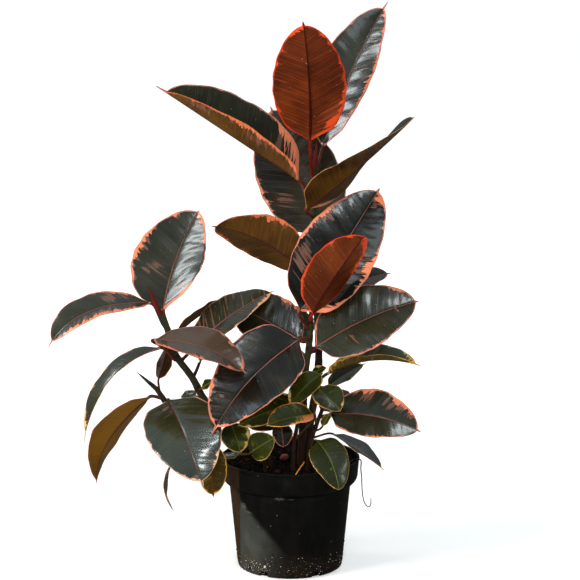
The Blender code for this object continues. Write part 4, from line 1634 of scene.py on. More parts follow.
    def store_marks(self, mesh: Mesh, places: np.ndarray, share: np.ndarray, length: np.ndarray) -> None:
        """Store the leaf's markings at each point.

        Args:
            mesh: The leaf's mesh.
            places: The place across the blade of each point of a ring.
            share: The share along the blade of each ring.
            length: The distance along the midrib of each ring.
        """
        look = self.look
        s = np.clip(share, 0.0, 1.0)[:, None]
        v = places[None, :]
        half = self.half_widths(s[:, 0])[:, None]
        out = v * half
        slope = np.gradient(half[:, 0], np.maximum(length, 1e-9) + np.arange(len(length)) * 1e-9)
        lean = 1.0 / np.sqrt(1.0 + np.clip(slope, -3.0, 3.0) ** 2)[:, None]
        edge = np.minimum((half - np.abs(out)) * lean, (length[-1] - length)[:, None] + self.TIP_MARGIN)
        edge = np.where(share[:, None] < 0.0, self.FAR_FROM_EDGE, edge)
        shape = edge.shape
        flare_widths = np.zeros(shape)
        for flare in look.flares:
            bump = np.exp(-(((s - flare.centre) / flare.reach) ** 2)) * flare.width
            flare_widths = flare_widths + bump * (np.sign(v) == flare.side.value)
        patch = np.full(shape, look.patchiness)
        for spot in look.patches:
            near = ((s - spot.share) / spot.reach) ** 2 + ((v - spot.across) / self.PATCH_ACROSS) ** 2
            patch = patch + spot.strength * np.exp(-near)
        fade = smooth_rise(0.0, 0.1, s) * (1.0 - smooth_rise(0.93, 1.0, s))
        inner = smooth_rise(0.02, 0.22, np.abs(v)) * (1.0 - 0.6 * smooth_rise(0.8, 1.0, np.abs(v)))
        sign = np.where(np.arange(len(places)) < len(places) // 2 - 1, -1.0, 1.0)[None, :]
        relief = fade * inner * sign * (share[:, None] >= 0.0)
        place = np.stack(np.broadcast_arrays(length[:, None], out, self.seed() * 3.1), axis=-1)
        set_attribute(mesh, "place", place, "FLOAT_VECTOR")
        for name, values in (("edge", edge), ("flare", flare_widths), ("patch", patch),
                             ("margin", look.margin * np.where(v > 0.0, look.right, look.left)),
                             ("tone", look.tone), ("cream", look.cream), ("tint", look.tint),
                             ("relief", relief)):
            set_attribute(mesh, name, np.broadcast_to(values, shape))


LEAVES = (
    # The tall stem's own leaves, from the top down
    Leaf("top_red", "tall", 0.478, (0.024, -0.004, 0.524), (0.015, -0.022, 0.665), 0.089, 179,
         arch=0.006, fold=12, sway=-0.003, drip=0.045, kind=LeafKind.YOUNG,
         look=Look(0.0016,
                   flares=(Flare(Side.LEFT, 0.18, 0.2, 0.0062), Flare(Side.RIGHT, 0.93, 0.05, 0.004)))),
    Leaf("top_back", "tall", 0.484, (0.04, 0.034, 0.512), (0.118, 0.08, 0.681), 0.082, -35, arch=-0.006,
         crest=0.6, fold=17, sway=-0.011, drip=0.075,
         look=Look(0.0014, right=1.3, tone=0.25,
                   flares=(Flare(Side.RIGHT, 0.42, 0.22, 0.0032), Flare(Side.RIGHT, 0.14, 0.1, 0.0045)),
                   patches=(Patch(0.45, 0.6, 0.75, 0.07), Patch(0.7, 0.5, 0.55, 0.06)))),
    # Part of upper_left's tone is a painted sheen on its upper side.
    Leaf("upper_left", "tall", 0.452, (0.01, 0.004, 0.476), (-0.156, -0.03, 0.591), 0.094, 57, fold=54,
         drip=0.085,
         look=Look(0.0017, left=1.8, tone=0.35,
                   flares=(Flare(Side.RIGHT, 0.1, 0.13, 0.016), Flare(Side.LEFT, 0.3, 0.34, 0.005)),
                   patches=(Patch(0.35, -0.6), Patch(0.75, -0.55), Patch(0.97, 0.0, 1.0, 0.06)))),
    Leaf("leaning_back", "tall", 0.404, (0.04, 0.042, 0.401), (-0.024, 0.125, 0.549), 0.105, 9,
         arch=-0.006, fold=8, drip=0.04,
         look=Look(0.001, left=1.5, tint=0.3,
                   patches=(Patch(0.36, -0.5, 0.9, 0.07), Patch(0.88, 0.1, 0.8)))),
    Leaf("upper_right", "tall", 0.43, (0.02, -0.004, 0.442), (0.145, -0.034, 0.555), 0.084, -102,
         arch=-0.003, fold=12, twist=56, drip=0.015,
         look=Look(0.0007, tone=0.1, cream=0.35, flares=(Flare(Side.LEFT, 0.08, 0.07, 0.0045),))),
    Leaf("left_bronze", "tall", 0.372, (0.016, 0.01, 0.365), (-0.093, -0.024, 0.424), 0.079, 133,
         arch=0.014, fold=12, drip=0.06,
         look=Look(0.001, tone=0.1,
                   flares=(Flare(Side.LEFT, 0.55, 0.15, 0.0055), Flare(Side.RIGHT, 0.8, 0.09, 0.0032)))),
    Leaf("right_tip", "tall", 0.33, (0.056, 0.036, 0.336), (0.124, 0.048, 0.354), 0.046, -50, arch=0.003,
         drip=0.09, look=Look(0.001, patchiness=0.45)),
    Leaf("right_trough", "tall", 0.226, (0.046, -0.002, 0.24), (0.156, -0.034, 0.257), 0.057, -78,
         arch=0.012, fold=28, drip=0.07, kind=LeafKind.OLIVE,
         look=Look(0.0012, tone=0.2, patchiness=0.35,
                   flares=(Flare(Side.RIGHT, 0.14, 0.14, 0.0065), Flare(Side.LEFT, 0.15, 0.16, 0.005),
                           Flare(Side.LEFT, 0.92, 0.1, 0.007), Flare(Side.RIGHT, 0.92, 0.1, 0.005)))),
    Leaf("right_under", "tall", 0.218, (0.047, 0.026, 0.217), (0.093, 0.042, 0.242), 0.03, -52,
         arch=0.002, drip=0.09, kind=LeafKind.OLIVE, look=Look(0.0008, tone=0.1)),
    Leaf("back_high", "tall", 0.316, (0.047, 0.064, 0.302), (0.075, 0.126, 0.358), 0.084, -21,
         arch=0.006),
    Leaf("back_left", "tall", 0.262, (0.0, 0.062, 0.234), (-0.048, 0.14, 0.234), 0.08, 43, arch=0.01),
    Leaf("back_right", "tall", 0.206, (0.045, 0.058, 0.179), (0.097, 0.128, 0.142), 0.06, -59,
         arch=0.012),
    Leaf("stem_small", "tall", 0.24, (0.027, 0.004, 0.239), (0.044, -0.002, 0.247), 0.012, -22,
         arch=0.001, kind=LeafKind.GREEN),
    # The front stem's leaves
    # front_tall's lowered tone is partly painted shade.
    Leaf("front_tall", "front", 0.298, (0.013, -0.02, 0.321), (0.107, 0.006, 0.465), 0.098, -16,
         arch=0.004, fold=12, sway=0.002, drip=0.035,
         look=Look(0.0012, tone=-0.35, tint=0.3,
                   flares=(Flare(Side.LEFT, 0.62, 0.15, 0.003), Flare(Side.RIGHT, 0.1, 0.1, 0.006),
                           Flare(Side.RIGHT, 0.48, 0.12, 0.006), Flare(Side.RIGHT, 0.95, 0.05, 0.007)),
                   patches=(Patch(0.34, -0.72, 1.1, 0.15), Patch(0.52, 0.62, 0.9, 0.08),
                            Patch(0.9, 0.25, 0.8, 0.08)))),
    Leaf("front_red", "front", 0.307, (0.027, -0.056, 0.326), (0.086, -0.098, 0.426), 0.07, -147,
         arch=0.003, fold=30, drip=0.03, kind=LeafKind.YOUNG,
         look=Look(0.0013, tone=-0.2, tint=0.8,
                   flares=(Flare(Side.LEFT, 0.9, 0.12, 0.0075), Flare(Side.LEFT, 0.6, 0.15, 0.0022),
                           Flare(Side.RIGHT, 0.25, 0.2, 0.0016)))),
    Leaf("right_mid", "front", 0.274, (0.032, -0.026, 0.278), (0.153, -0.03, 0.335), 0.084, -25,
         arch=0.006, sway=-0.004, drip=0.035,
         look=Look(0.0013, tone=0.5,
                   flares=(Flare(Side.LEFT, 0.86, 0.05, 0.003), Flare(Side.RIGHT, 0.55, 0.25, 0.001)),
                   patches=(Patch(0.36, 0.32, 0.85, 0.06), Patch(0.8, 0.12, 0.8, 0.05),
                            Patch(0.85, -0.7, 0.6, 0.05)))),
    # big_front's lowered tone is partly painted shade.
    Leaf("big_front", "front", 0.286, (0.01, -0.034, 0.288), (-0.092, -0.084, 0.186), 0.091, 19,
         arch=0.008, fold=14, sway=0.008, drip=0.085, lean=0.72,
         look=Look(0.0015, tone=-0.3, tint=0.4,
                   flares=(Flare(Side.RIGHT, 0.72, 0.12, 0.0018), Flare(Side.LEFT, 0.75, 0.04, 0.0018)),
                   patches=(Patch(0.2, 0.5, 0.6, 0.03), Patch(0.74, 0.42, 0.85, 0.06),
                            Patch(0.62, -0.5, 0.6, 0.03)))),
    Leaf("mid_dark", "front", 0.281, (0.014, -0.004, 0.28), (-0.073, 0.032, 0.32), 0.072, 23, arch=0.004,
         fold=12, look=Look(0.001, patchiness=0.1, flares=(Flare(Side.RIGHT, 0.3, 0.2, 0.002),))),
    Leaf("mid_backlit", "front", 0.262, (0.007, 0.008, 0.273), (-0.004, 0.066, 0.313), 0.056, 10,
         arch=-0.003, kind=LeafKind.GREEN, look=Look(0.0008, tone=0.35)),
    Leaf("centre_green", "front", 0.234, (0.037, -0.028, 0.245), (-0.002, -0.046, 0.209), 0.034, 36,
         arch=0.004, fold=12, drip=0.1, kind=LeafKind.GREEN,
         look=Look(0.0008, tone=0.4, patchiness=0.35, flares=(Flare(Side.RIGHT, 0.8, 0.1, 0.003),))),
    # The left stem's leaves
    Leaf("left_near", "left", 0.272, (-0.16, -0.05, 0.292), (-0.051, -0.084, 0.259), 0.076, -62,
         arch=0.013, crest=0.55, drip=0.06,
         look=Look(0.0016, tone=0.8, tint=0.9, right=1.3,
                   flares=(Flare(Side.RIGHT, 0.15, 0.15, 0.0016), Flare(Side.LEFT, 0.93, 0.06, 0.004)),
                   patches=(Patch(0.86, -0.45, 1.0, 0.06),))),
    # left_arch's full tone is partly a painted sheen.
    Leaf("left_arch", "left", 0.262, (-0.156, -0.022, 0.276), (-0.246, -0.054, 0.168), 0.057, 72,
         arch=0.024, crest=0.45, fold=12, drip=0.09,
         look=Look(0.0012, tone=1.0, cream=0.7, flares=(Flare(Side.RIGHT, 0.9, 0.1, 0.003),))),
    Leaf("far_left", "left", 0.303, (-0.168, -0.009, 0.328), (-0.285, -0.062, 0.286), 0.063, 57,
         arch=0.023, crest=0.66, drip=0.09,
         look=Look(0.0017, left=1.4, tone=0.4,
                   flares=(Flare(Side.LEFT, 0.45, 0.24, 0.0075), Flare(Side.RIGHT, 0.18, 0.15, 0.0025)),
                   patches=(Patch(0.42, -0.55, 1.15, 0.13), Patch(0.22, 0.5, 0.9)))),
    Leaf("left_upright", "left", 0.296, (-0.152, -0.004, 0.319), (-0.111, 0.07, 0.428), 0.101, -25,
         arch=-0.004, fold=22, sway=-0.01, drip=0.025,
         look=Look(0.0016, left=1.2, tone=0.2,
                   flares=(Flare(Side.LEFT, 0.52, 0.16, 0.0038), Flare(Side.RIGHT, 0.1, 0.12, 0.0034),
                           Flare(Side.RIGHT, 0.92, 0.07, 0.0045)),
                   patches=(Patch(0.36, -0.5, 1.1, 0.07), Patch(0.2, 0.5, 0.85, 0.07)))),
    # mid_left's raised tone is partly a painted highlight.
    Leaf("mid_left", "left", 0.258, (-0.116, -0.006, 0.272), (-0.019, 0.022, 0.337), 0.066, -53,
         arch=0.008, fold=12, drip=0.06,
         look=Look(0.001, tone=0.55, cream=0.45, patchiness=0.52,
                   flares=(Flare(Side.RIGHT, 0.85, 0.15, 0.005),))),
    Leaf("mid_edge", "left", 0.276, (-0.139, 0.022, 0.283), (-0.079, 0.052, 0.319), 0.05, -97,
         arch=0.003, drip=0.06, look=Look(0.0012)),
    Leaf("low_behind", "left", 0.18, (-0.098, -0.046, 0.164), (-0.091, -0.08, 0.108), 0.038, -168,
         arch=0.004, fold=8, drip=0.06, kind=LeafKind.OLIVE,
         look=Look(0.001, tone=-0.3, patchiness=0.3)),
    Leaf("low_green", "left", 0.172, (-0.071, -0.036, 0.186), (-0.059, -0.05, 0.153), 0.036, -13,
         arch=0.004, fold=8, drip=0.06, kind=LeafKind.GREEN,
         look=Look(0.0009, tone=0.1, left=1.4, patchiness=0.45,
                   flares=(Flare(Side.LEFT, 0.5, 0.3, 0.0022),))),
    Leaf("left_stub", "left", 0.224, (-0.105, -0.034, 0.23), (-0.091, -0.044, 0.241), 0.012, -31,
         arch=0.001, kind=LeafKind.GREEN),
    Leaf("left_small", "left", 0.214, (-0.114, 0.0, 0.211), (-0.133, 0.022, 0.206), 0.015, 44,
         arch=0.002, kind=LeafKind.GREEN),
    Leaf("twig", "twig", 0.253, (-0.108, -0.009, 0.257), (-0.103, -0.002, 0.271), 0.011, -28,
         arch=0.001),
    # The low branch's leaves
    # left_hanging's light golden tone is partly a painted glow of light shining through the leaf from
    # behind.
    Leaf("left_hanging", "low", 0.217, (-0.169, -0.028, 0.217), (-0.231, -0.06, 0.119), 0.064, 116,
         arch=0.019, crest=0.68, fold=12, sway=0.004, look=Look(0.0007, tone=0.55, tint=1.0)),
    Leaf("left_inner", "low", 0.224, (-0.158, -0.018, 0.237), (-0.147, 0.002, 0.275), 0.02, 153,
         arch=0.001, fold=14),
    Leaf("low_left", "low", 0.204, (-0.145, -0.04, 0.216), (-0.101, -0.106, 0.126), 0.091, -16,
         arch=0.01, crest=0.45, fold=8, drip=0.085, lean=0.8, kind=LeafKind.GREY,
         look=Look(0.0008, tone=0.1, cream=0.25,
                   flares=(Flare(Side.RIGHT, 0.9, 0.06, 0.0032), Flare(Side.LEFT, 0.78, 0.06, 0.0026)),
                   patches=(Patch(0.1, 0.3, 1.2, 0.07), Patch(0.7, -0.55, 0.85, 0.05)))),
    Leaf("low_sliver", "low", 0.196, (-0.139, -0.032, 0.14), (-0.14, -0.048, 0.081), 0.03, -87,
         arch=-0.012, fold=6, look=Look(tone=0.3, tint=1.0)),
    # Small leaves on the suckers at the foot of the plant
    Leaf("right_low", "sucker", 0.194, (0.049, -0.034, 0.197), (0.156, -0.056, 0.181), 0.072, -39,
         arch=0.009, sway=-0.003, drip=0.055,
         look=Look(0.001, tone=0.3,
                   flares=(Flare(Side.LEFT, 0.74, 0.14, 0.0045), Flare(Side.LEFT, 0.34, 0.12, 0.0028)),
                   patches=(Patch(0.58, -0.55, 0.8, 0.08), Patch(0.35, -0.7, 0.8, 0.07)))),
    Leaf("right_droop", "sucker", 0.168, (0.053, -0.022, 0.169), (0.113, -0.05, 0.132), 0.044, -74,
         arch=0.002, fold=12, drip=0.1, look=Look(0.0009, cream=0.5)),
    Leaf("over_rim", "sucker", 0.156, (0.033, -0.054, 0.169), (0.058, -0.092, 0.12), 0.044, -9,
         arch=0.005, fold=8, sway=-0.004, drip=0.015, lean=0.72, kind=LeafKind.GREEN,
         look=Look(0.0003, left=0.5, right=1.3, tone=-0.08, patchiness=0.3)),
    Leaf("green_fold", "sucker", 0.186, (0.033, -0.042, 0.23), (0.06, -0.064, 0.208), 0.038, -31,
         arch=0.003, fold=12, kind=LeafKind.GREEN, look=Look(0.0009, patchiness=0.45)),
    Leaf("sucker_small", "sucker", 0.176, (0.039, -0.046, 0.186), (0.048, -0.052, 0.203), 0.011, -153,
         arch=0.001, kind=LeafKind.GREEN),
    Leaf("under_green", "centre", 0.184, (0.012, -0.032, 0.212), (-0.063, -0.048, 0.186), 0.04, 37,
         arch=0.005, kind=LeafKind.GREEN, look=Look(0.0012, patchiness=0.5)),
    Leaf("under_orange", "centre", 0.168, (0.027, -0.056, 0.203), (-0.028, -0.084, 0.196), 0.038, 43,
         arch=0.003, fold=22, kind=LeafKind.GREEN,
         look=Look(0.0007, cream=0.9, patchiness=0.4, flares=(Flare(Side.LEFT, 0.22, 0.2, 0.02),))),
    Leaf("small_dark", "centre", 0.166, (-0.011, -0.046, 0.189), (-0.008, -0.056, 0.162), 0.025, -12,
         arch=0.002, look=Look(0.0009, tone=0.1)),
    Leaf("under_dark", "centre", 0.178, (0.007, -0.014, 0.195), (-0.053, -0.02, 0.178), 0.034, 23,
         arch=0.003, look=Look(0.0009)),
    Leaf("rim_left", "basal", 0.15, (-0.061, -0.04, 0.149), (-0.085, -0.022, 0.138), 0.013, 54,
         arch=0.001, kind=LeafKind.GREEN, look=Look(0.0004)),
    Leaf("bright_green", "basal", 0.156, (-0.047, -0.058, 0.156), (-0.018, -0.072, 0.179), 0.034, -13,
         arch=0.003, fold=8, kind=LeafKind.GREEN, look=Look(0.0006, tone=-0.15, patchiness=0.5)),
)


@dataclass
class Foliage:
    """All the leaves, with their veins sunk in by one geometry tree."""

    small_vein_spacing: float = 0.0046
    vein_depth: float = 0.0001
    small_vein_depth: float = 0.00005

    def build(self, groups: Groups) -> None:
        """Build and dress every leaf.

        Args:
            groups: The shader groups.
        """
        tree = vein_relief_tree()
        blades = {key: finish.material(groups) for key, finish in BLADE_FINISHES.items()}
        stalks = {kind: finish.material(groups) for kind, finish in STALK_FINISHES.items()}
        items = []
        for leaf in LEAVES:
            item = new_object(f"{leaf.name}_blade", leaf.mesh())
            small = leaf.small()
            add_tree(item, tree, {
                "Vein Spacing": self.small_vein_spacing if small else LeafPattern.VEIN_SPACING,
                "Vein Slant": LeafPattern.SLANT,
                "Vein Depth": self.small_vein_depth if small else self.vein_depth,
                "Upper Finish": blades[leaf.kind, BladePart.UPPER],
                "Under Finish": blades[leaf.kind, BladePart.UNDER],
                "Stalk Finish": stalks[leaf.kind]})
            items.append(item)
        bake(*items)
        for leaf, item in zip(LEAVES, items):
            item.data.shade_smooth()
            declare(item, leaf.kind.slot(), f"{leaf.name}_leaf")


# Pot, soil and litter


@dataclass(frozen=True)
class Grains:
    """Loose grains: their finish, how many lie on a square metre, and their radii in metres."""

    name: str
    finish: EarthFinish
    density: float
    smallest: float
    largest: float
    seed: int

    def strew(self, surface: Mesh, tree: NodeTree, earths: dict) -> None:
        """Strew the grains and hand them to the frame.

        Args:
            surface: What they lie on, with its crumbs attribute.
            tree: The crumb tree.
            earths: The material of each earth finish.
        """
        item = new_object(self.name, surface)
        add_tree(item, tree,
                 {"Density": self.density, "Smallest": self.smallest, "Largest": self.largest,
                  "Seed": self.seed, "Finish": earths[self.finish]})
        bake(item)
        declare(item, "soil")


@dataclass
class Pot:
    """The turned pot: a tapered body, a band under a rolled rim and drain notches in its foot."""

    rim_height: float = 0.136
    rim_radius: float = 0.085
    bead: float = 0.0014
    band_bottom: float = 0.105
    band_corner: float = 0.116
    band_corner_radius: float = 0.083
    band_flare: float = 0.0012
    band_height: float = 0.015
    body_top_radius: float = 0.0742
    base_radius: float = 0.064
    base_rounding: float = 0.0025
    foot_ring: float = 0.0004
    foot_ring_height: float = 0.0125
    foot_ring_half: float = 0.0008
    wall: float = 0.0018
    floor: float = 0.003
    notches: int = 6
    first_notch: float = -120.0
    notch_size: tuple = (0.01, 0.012, 0.007)
    notch_rounding: float = 0.0015
    sides: int = 168
    dirt_top: float = 0.05
    dirt_middle: float = -2.15
    dirt_spread: float = 0.42

    # What lies on the foot, and how thickly away from the dirtiest side
    FOOT_GRAINS = ((Grains("foot_crumbs", PEAT, 60000.0, 0.00022, 0.0014, 21), 0.35),
                   (Grains("foot_specks", PERLITE, 190000.0, 0.00016, 0.0008, 34), 0.35),
                   (Grains("foot_flakes", PERLITE, 7000.0, 0.0007, 0.0034, 3), 0.02))

    def body_radius(self, height: float) -> float:
        """Return the outside radius of the tapered body at a height."""
        return self.base_radius + (self.body_top_radius - self.base_radius) * height / self.band_bottom

    def profile(self) -> list[tuple[float, float]]:
        """Draw half the pot's section, from the middle of its underside to the middle of its floor.

        Returns:
            Pairs of a radius and a height.
        """
        turns = [math.pi / 2 * k / 6 for k in range(7)]
        rounding = self.base_rounding
        foot = [(self.base_radius - rounding + rounding * math.sin(a), rounding - rounding * math.cos(a))
                for a in turns]
        body = []
        for h in np.linspace(0.004, self.band_bottom - 0.0035, 60):
            ring = math.exp(-(((h - self.foot_ring_height) / self.foot_ring_half) ** 2))
            body.append((self.body_radius(h) + self.foot_ring * ring, h))
        ledge = [(self.body_top_radius + out, self.band_bottom - under) for out, under in (
            (0.0004, 0.0022), (0.0008, 0.0016), (0.0008, 0.0006), (0.0003, 0.0))]
        reach = self.band_corner_radius - self.body_top_radius
        rise = self.band_corner - self.band_bottom
        shoulder = [(self.body_top_radius + reach * math.sin(a), self.band_corner - rise * math.cos(a))
                    for a in turns[1:]]
        band = [(self.band_corner_radius + self.band_flare * t, self.band_corner + self.band_height * t)
                for t in (0.1, 0.3, 0.6, 0.9, 1.0)]
        bead = self.bead
        lip = [(self.rim_radius - bead + bead * math.cos(a), self.rim_height - bead + bead * math.sin(a))
               for a in (math.radians(turn) for turn in range(-80, 200, 20))]
        inside = [(self.rim_radius - 2 * bead, self.rim_height - 0.004),
                  (self.band_corner_radius - self.wall, self.band_corner + self.wall / 2),
                  (self.body_top_radius - self.wall, self.band_bottom + self.wall / 2),
                  (self.body_radius(self.floor) - self.wall, self.floor), (0.0, self.floor)]
        return [(0.0, 0.0)] + foot + body + ledge + shoulder + band + lip + inside

    def mesh(self) -> Mesh:
        """Turn the profile about the axis.

        Returns:
            The mesh, without its notches.
        """
        shape = bmesh.new()
        verts = [shape.verts.new((radius, 0.0, height)) for radius, height in self.profile()]
        edges = [shape.edges.new(pair) for pair in zip(verts, verts[1:])]
        bmesh.ops.spin(shape, geom=verts + edges, cent=(0, 0, 0), axis=(0, 0, 1), angle=2 * math.pi,
                       steps=self.sides, use_merge=True)
        bmesh.ops.remove_doubles(shape, verts=shape.verts, dist=0.00001)
        bmesh.ops.recalc_face_normals(shape, faces=shape.faces)
        return mesh_of("pot_body", shape)

    def cutter(self) -> Object:
        """Make the notches' cutting shape, with rounded upper corners.

        Returns:
            The shape as an object.
        """
        depth, width, top = self.notch_size
        shape = bmesh.new()
        size = Matrix.Diagonal((depth, width, 2 * top, 1.0))
        for index in range(self.notches):
            angle = math.radians(self.first_notch) + 2.0 * math.pi * index / self.notches
            place = Matrix.Rotation(angle, 4, "Z") @ Matrix.Translation((self.base_radius, 0.0, 0.0))
            bmesh.ops.create_cube(shape, size=1.0, matrix=place @ size)
        corners = []
        for edge in shape.edges:
            ends = [vert.co for vert in edge.verts]
            inwards = (ends[0].xy.length - ends[1].xy.length) ** 2 > 0.00003
            if inwards and all(abs(end.z - top) < 1e-5 for end in ends):
                corners.append(edge)
        bmesh.ops.bevel(shape, geom=corners, offset=self.notch_rounding, segments=3, affect="EDGES",
                        profile=0.5)
        bmesh.ops.recalc_face_normals(shape, faces=shape.faces)
        return new_object("notch_cutter", mesh_of("notch_cutter", shape))

    def build(self, groups: Groups) -> None:
        """Build, notch and dress the pot.

        Args:
            groups: The shader groups.
        """
        pot = new_object("pot_body", self.mesh())
        cutter = self.cutter()
        combine(pot, cutter, "DIFFERENCE")
        bake(pot)
        bpy.data.objects.remove(cutter)
        pot.data.materials.clear()
        pot.data.materials.append(PlasticFinish().material(groups))
        pot.data.shade_smooth()
        pot.data.set_sharp_from_angle(angle=math.radians(50))
        declare(pot, "pot_plastic", "pot")

    def foot_surface(self, name: str, least: float) -> Mesh:
        """Make the outside of the foot, which the dirt lies on.

        Args:
            name: The mesh's name.
            least: How thickly the dirt lies away from the dirtiest side, from 0 to 1.

        Returns:
            The surface, with how thickly the dirt lies at each point.
        """
        shape = bmesh.new()
        add_rings(shape, [circle(self.body_radius(h) + 0.0001, h, 96)
                          for h in np.linspace(0.004, self.dirt_top, 24)])
        mesh = mesh_of(name, shape)
        heights = np.array([v.co.z for v in mesh.vertices])
        angles = np.array([math.atan2(v.co.y, v.co.x) for v in mesh.vertices])
        noises = np.array([noise.noise(v.co * 60.0) for v in mesh.vertices])
        near = np.exp(-(((angles - self.dirt_middle) / self.dirt_spread) ** 2))
        thick = least + (1.0 - least) * near
        fall = 1.0 - smooth_rise(0.008, 0.044, heights)
        set_attribute(mesh, "crumbs", np.clip(fall**2 * thick * (0.7 + 1.2 * noises), 0.0, 1.0))
        return mesh

    def add_dirt(self, tree: NodeTree, earths: dict) -> None:
        """Strew grains of soil, white specks and flakes on the foot of the pot."""
        for grains, least in self.FOOT_GRAINS:
            grains.strew(self.foot_surface(grains.name, least), tree, earths)


@dataclass
class Soil:
    """The root ball's top, with its crumbs and white grains, and its sides in the pot."""

    pot: Pot
    swell: float = 0.0018
    lump: float = 0.0016
    clod: float = 0.0009
    rings: int = 40
    sides: int = 120

    GRAINS = (Grains("soil_crumbs", PEAT, 110000.0, 0.0005, 0.0026, 5),
              Grains("soil_chips", CHIPS, 2200.0, 0.0014, 0.0042, 13),
              Grains("soil_grains", PERLITE, 2600.0, 0.0004, 0.0015, 8))

    def height(self, x: float, y: float) -> float:
        """Find the height of the uneven top at a place.

        Args:
            x: The place to the right.
            y: The place to the back.

        Returns:
            The height over the floor.
        """
        broad = math.sin(55 * x + 1.0) * math.cos(48 * y)
        slanted = math.sin(90 * y + 70 * x)
        lumps = self.lump * noise.noise(Vector((x * 130.0, y * 130.0, 3.0)))
        clods = self.clod * noise.noise(Vector((x * 420.0, y * 420.0, 9.0)))
        return SOIL_TOP + self.swell * 0.5 * (broad + slanted) + lumps + clods

    def mesh(self) -> Mesh:
        """Make the root ball as one closed mesh.

        Returns:
            The mesh.
        """
        pot = self.pot
        top_radius = pot.band_corner_radius - pot.wall - 3 * GAP
        rings = [circle(radius, height, self.sides) for radius, height in (
            (pot.body_radius(pot.floor) - pot.wall - GAP, pot.floor + GAP),
            (pot.body_top_radius - pot.wall - GAP, pot.band_bottom + pot.wall / 2 + GAP),
            (top_radius, pot.band_corner + pot.wall / 2 + GAP))]
        for ring in range(self.rings, 0, -1):
            flat = circle(top_radius * ring / self.rings, 0.0, self.sides)
            rings.append([(x, y, self.height(x, y)) for x, y, _ in flat])
        shape = bmesh.new()
        layers = add_rings(shape, rings)
        shape.faces.new(layers[0][::-1])
        crown = shape.verts.new((0.0, 0.0, self.height(0.0, 0.0)))
        for k in range(self.sides):
            shape.faces.new((layers[-1][k], layers[-1][(k + 1) % self.sides], crown))
        mesh = mesh_of("root_ball", shape)
        mesh.shade_smooth()
        return mesh

    def top_only(self, name: str) -> Mesh:
        """Make the top surface alone, which the crumbs lie on.

        Args:
            name: The mesh's name.

        Returns:
            The mesh.
        """
        radius = self.pot.band_corner_radius - self.pot.wall - 0.0035
        shape = bmesh.new()
        bmesh.ops.create_grid(shape, x_segments=60, y_segments=60, size=radius)
        far = [v for v in shape.verts if v.co.xy.length > radius]
        bmesh.ops.delete(shape, geom=far, context="VERTS")
        for vert in shape.verts:
            vert.co.z = self.height(vert.co.x, vert.co.y) + 0.0002
        mesh = mesh_of(name, shape)
        set_attribute(mesh, "crumbs", np.ones(len(mesh.vertices)))
        return mesh

    def build(self, tree: NodeTree, earths: dict) -> None:
        """Build the root ball and strew its crumbs.

        Args:
            tree: The crumb tree.
            earths: The material of each earth finish.
        """
        ball = new_object("root_ball", self.mesh())
        ball.data.materials.append(earths[PEAT])
        turn_outwards(ball.data)
        declare(ball, "soil", "soil")
        for grains in self.GRAINS:
            grains.strew(self.top_only(grains.name), tree, earths)


@dataclass(frozen=True)
class Scrap:
    """A thin round scrap: its line, how far apart the line's points are, and its thickness.

    taper is the share of the radius at its start and its end. An oval one swells in its middle.
    """

    name: str
    node: str
    slot: str
    finish: StalkFinish
    points: tuple
    step: float
    radius: float
    taper: tuple = (1.0, 1.0)
    oval: bool = False

    def mesh(self) -> Mesh:
        """Make the scrap's line with its thickness.

        Returns:
            The line's mesh.
        """
        line = smooth_line(self.points, self.step)
        shares = np.linspace(0.0, 1.0, len(line))
        thickness = self.radius * (self.taper[0] + (self.taper[1] - self.taper[0]) * shares)
        if self.oval:
            thickness = self.radius * np.maximum(np.sin(math.pi * shares), 0.0) ** 0.7 + 0.0002
        return line_mesh(self.name, line, {"thickness": thickness})

    def build(self, groups: Groups, tree: NodeTree) -> None:
        """Skin the scrap and hand it to the frame.

        Args:
            groups: The shader groups.
            tree: The shoot tree.
        """
        item = new_object(self.name, self.mesh())
        add_tree(item, tree, {"Sides": 12, "Unevenness": self.radius * 0.35, "Grain": 300.0,
                              "Finish": self.finish.material(groups)})
        bake(item)
        declare(item, self.slot, self.node)


@dataclass
class Litter:
    """The loose root over the rim, the straw that stands askew and the bud scale on the soil."""

    pot: Pot
    strand_radius: float = 0.0008

    STRAW = ((0.004, -0.0745, 0.127), (0.0085, -0.07, 0.135), (0.017, -0.064, 0.1462))
    BUD = ((-0.002, 0.01, 0.133), (-0.012, -0.001, 0.133))

    def strand(self) -> tuple:
        """Lay out the points that the loose root follows.

        Returns:
            The points.
        """
        over = self.pot.rim_height + GAP + self.strand_radius
        return ((0.07, -0.015, 0.13), (0.0765, -0.0172, 0.1355), (0.0825, -0.02, over),
                (0.085, -0.0208, over), (0.0862, -0.0212, 0.1345), (0.0858, -0.0218, 0.126),
                (0.0868, -0.0222, 0.116), (0.0873, -0.0225, 0.104), (0.0882, -0.0225, 0.093),
                (0.0905, -0.0225, 0.0835), (0.095, -0.0225, 0.0782), (0.098, -0.0225, 0.081),
                (0.0982, -0.0225, 0.089))

    def build(self, groups: Groups, tree: NodeTree) -> None:
        """Build the three scraps.

        Args:
            groups: The shader groups.
            tree: The shoot tree.
        """
        for scrap in (
                Scrap("loose_root", "root_strand", "litter", ROOT_SKIN, self.strand(), 0.0012,
                      self.strand_radius, taper=(1.1, 0.6)),
                Scrap("loose_straw", "straw", "litter", STRAW_SKIN, self.STRAW, 0.0015, 0.0008,
                      taper=(1.0, 0.8)),
                Scrap("shed_bud", "fallen_bud", "young_leaf", BUD_SKIN, self.BUD, 0.0006, 0.0038,
                      oval=True)):
            scrap.build(groups, tree)


# Studio


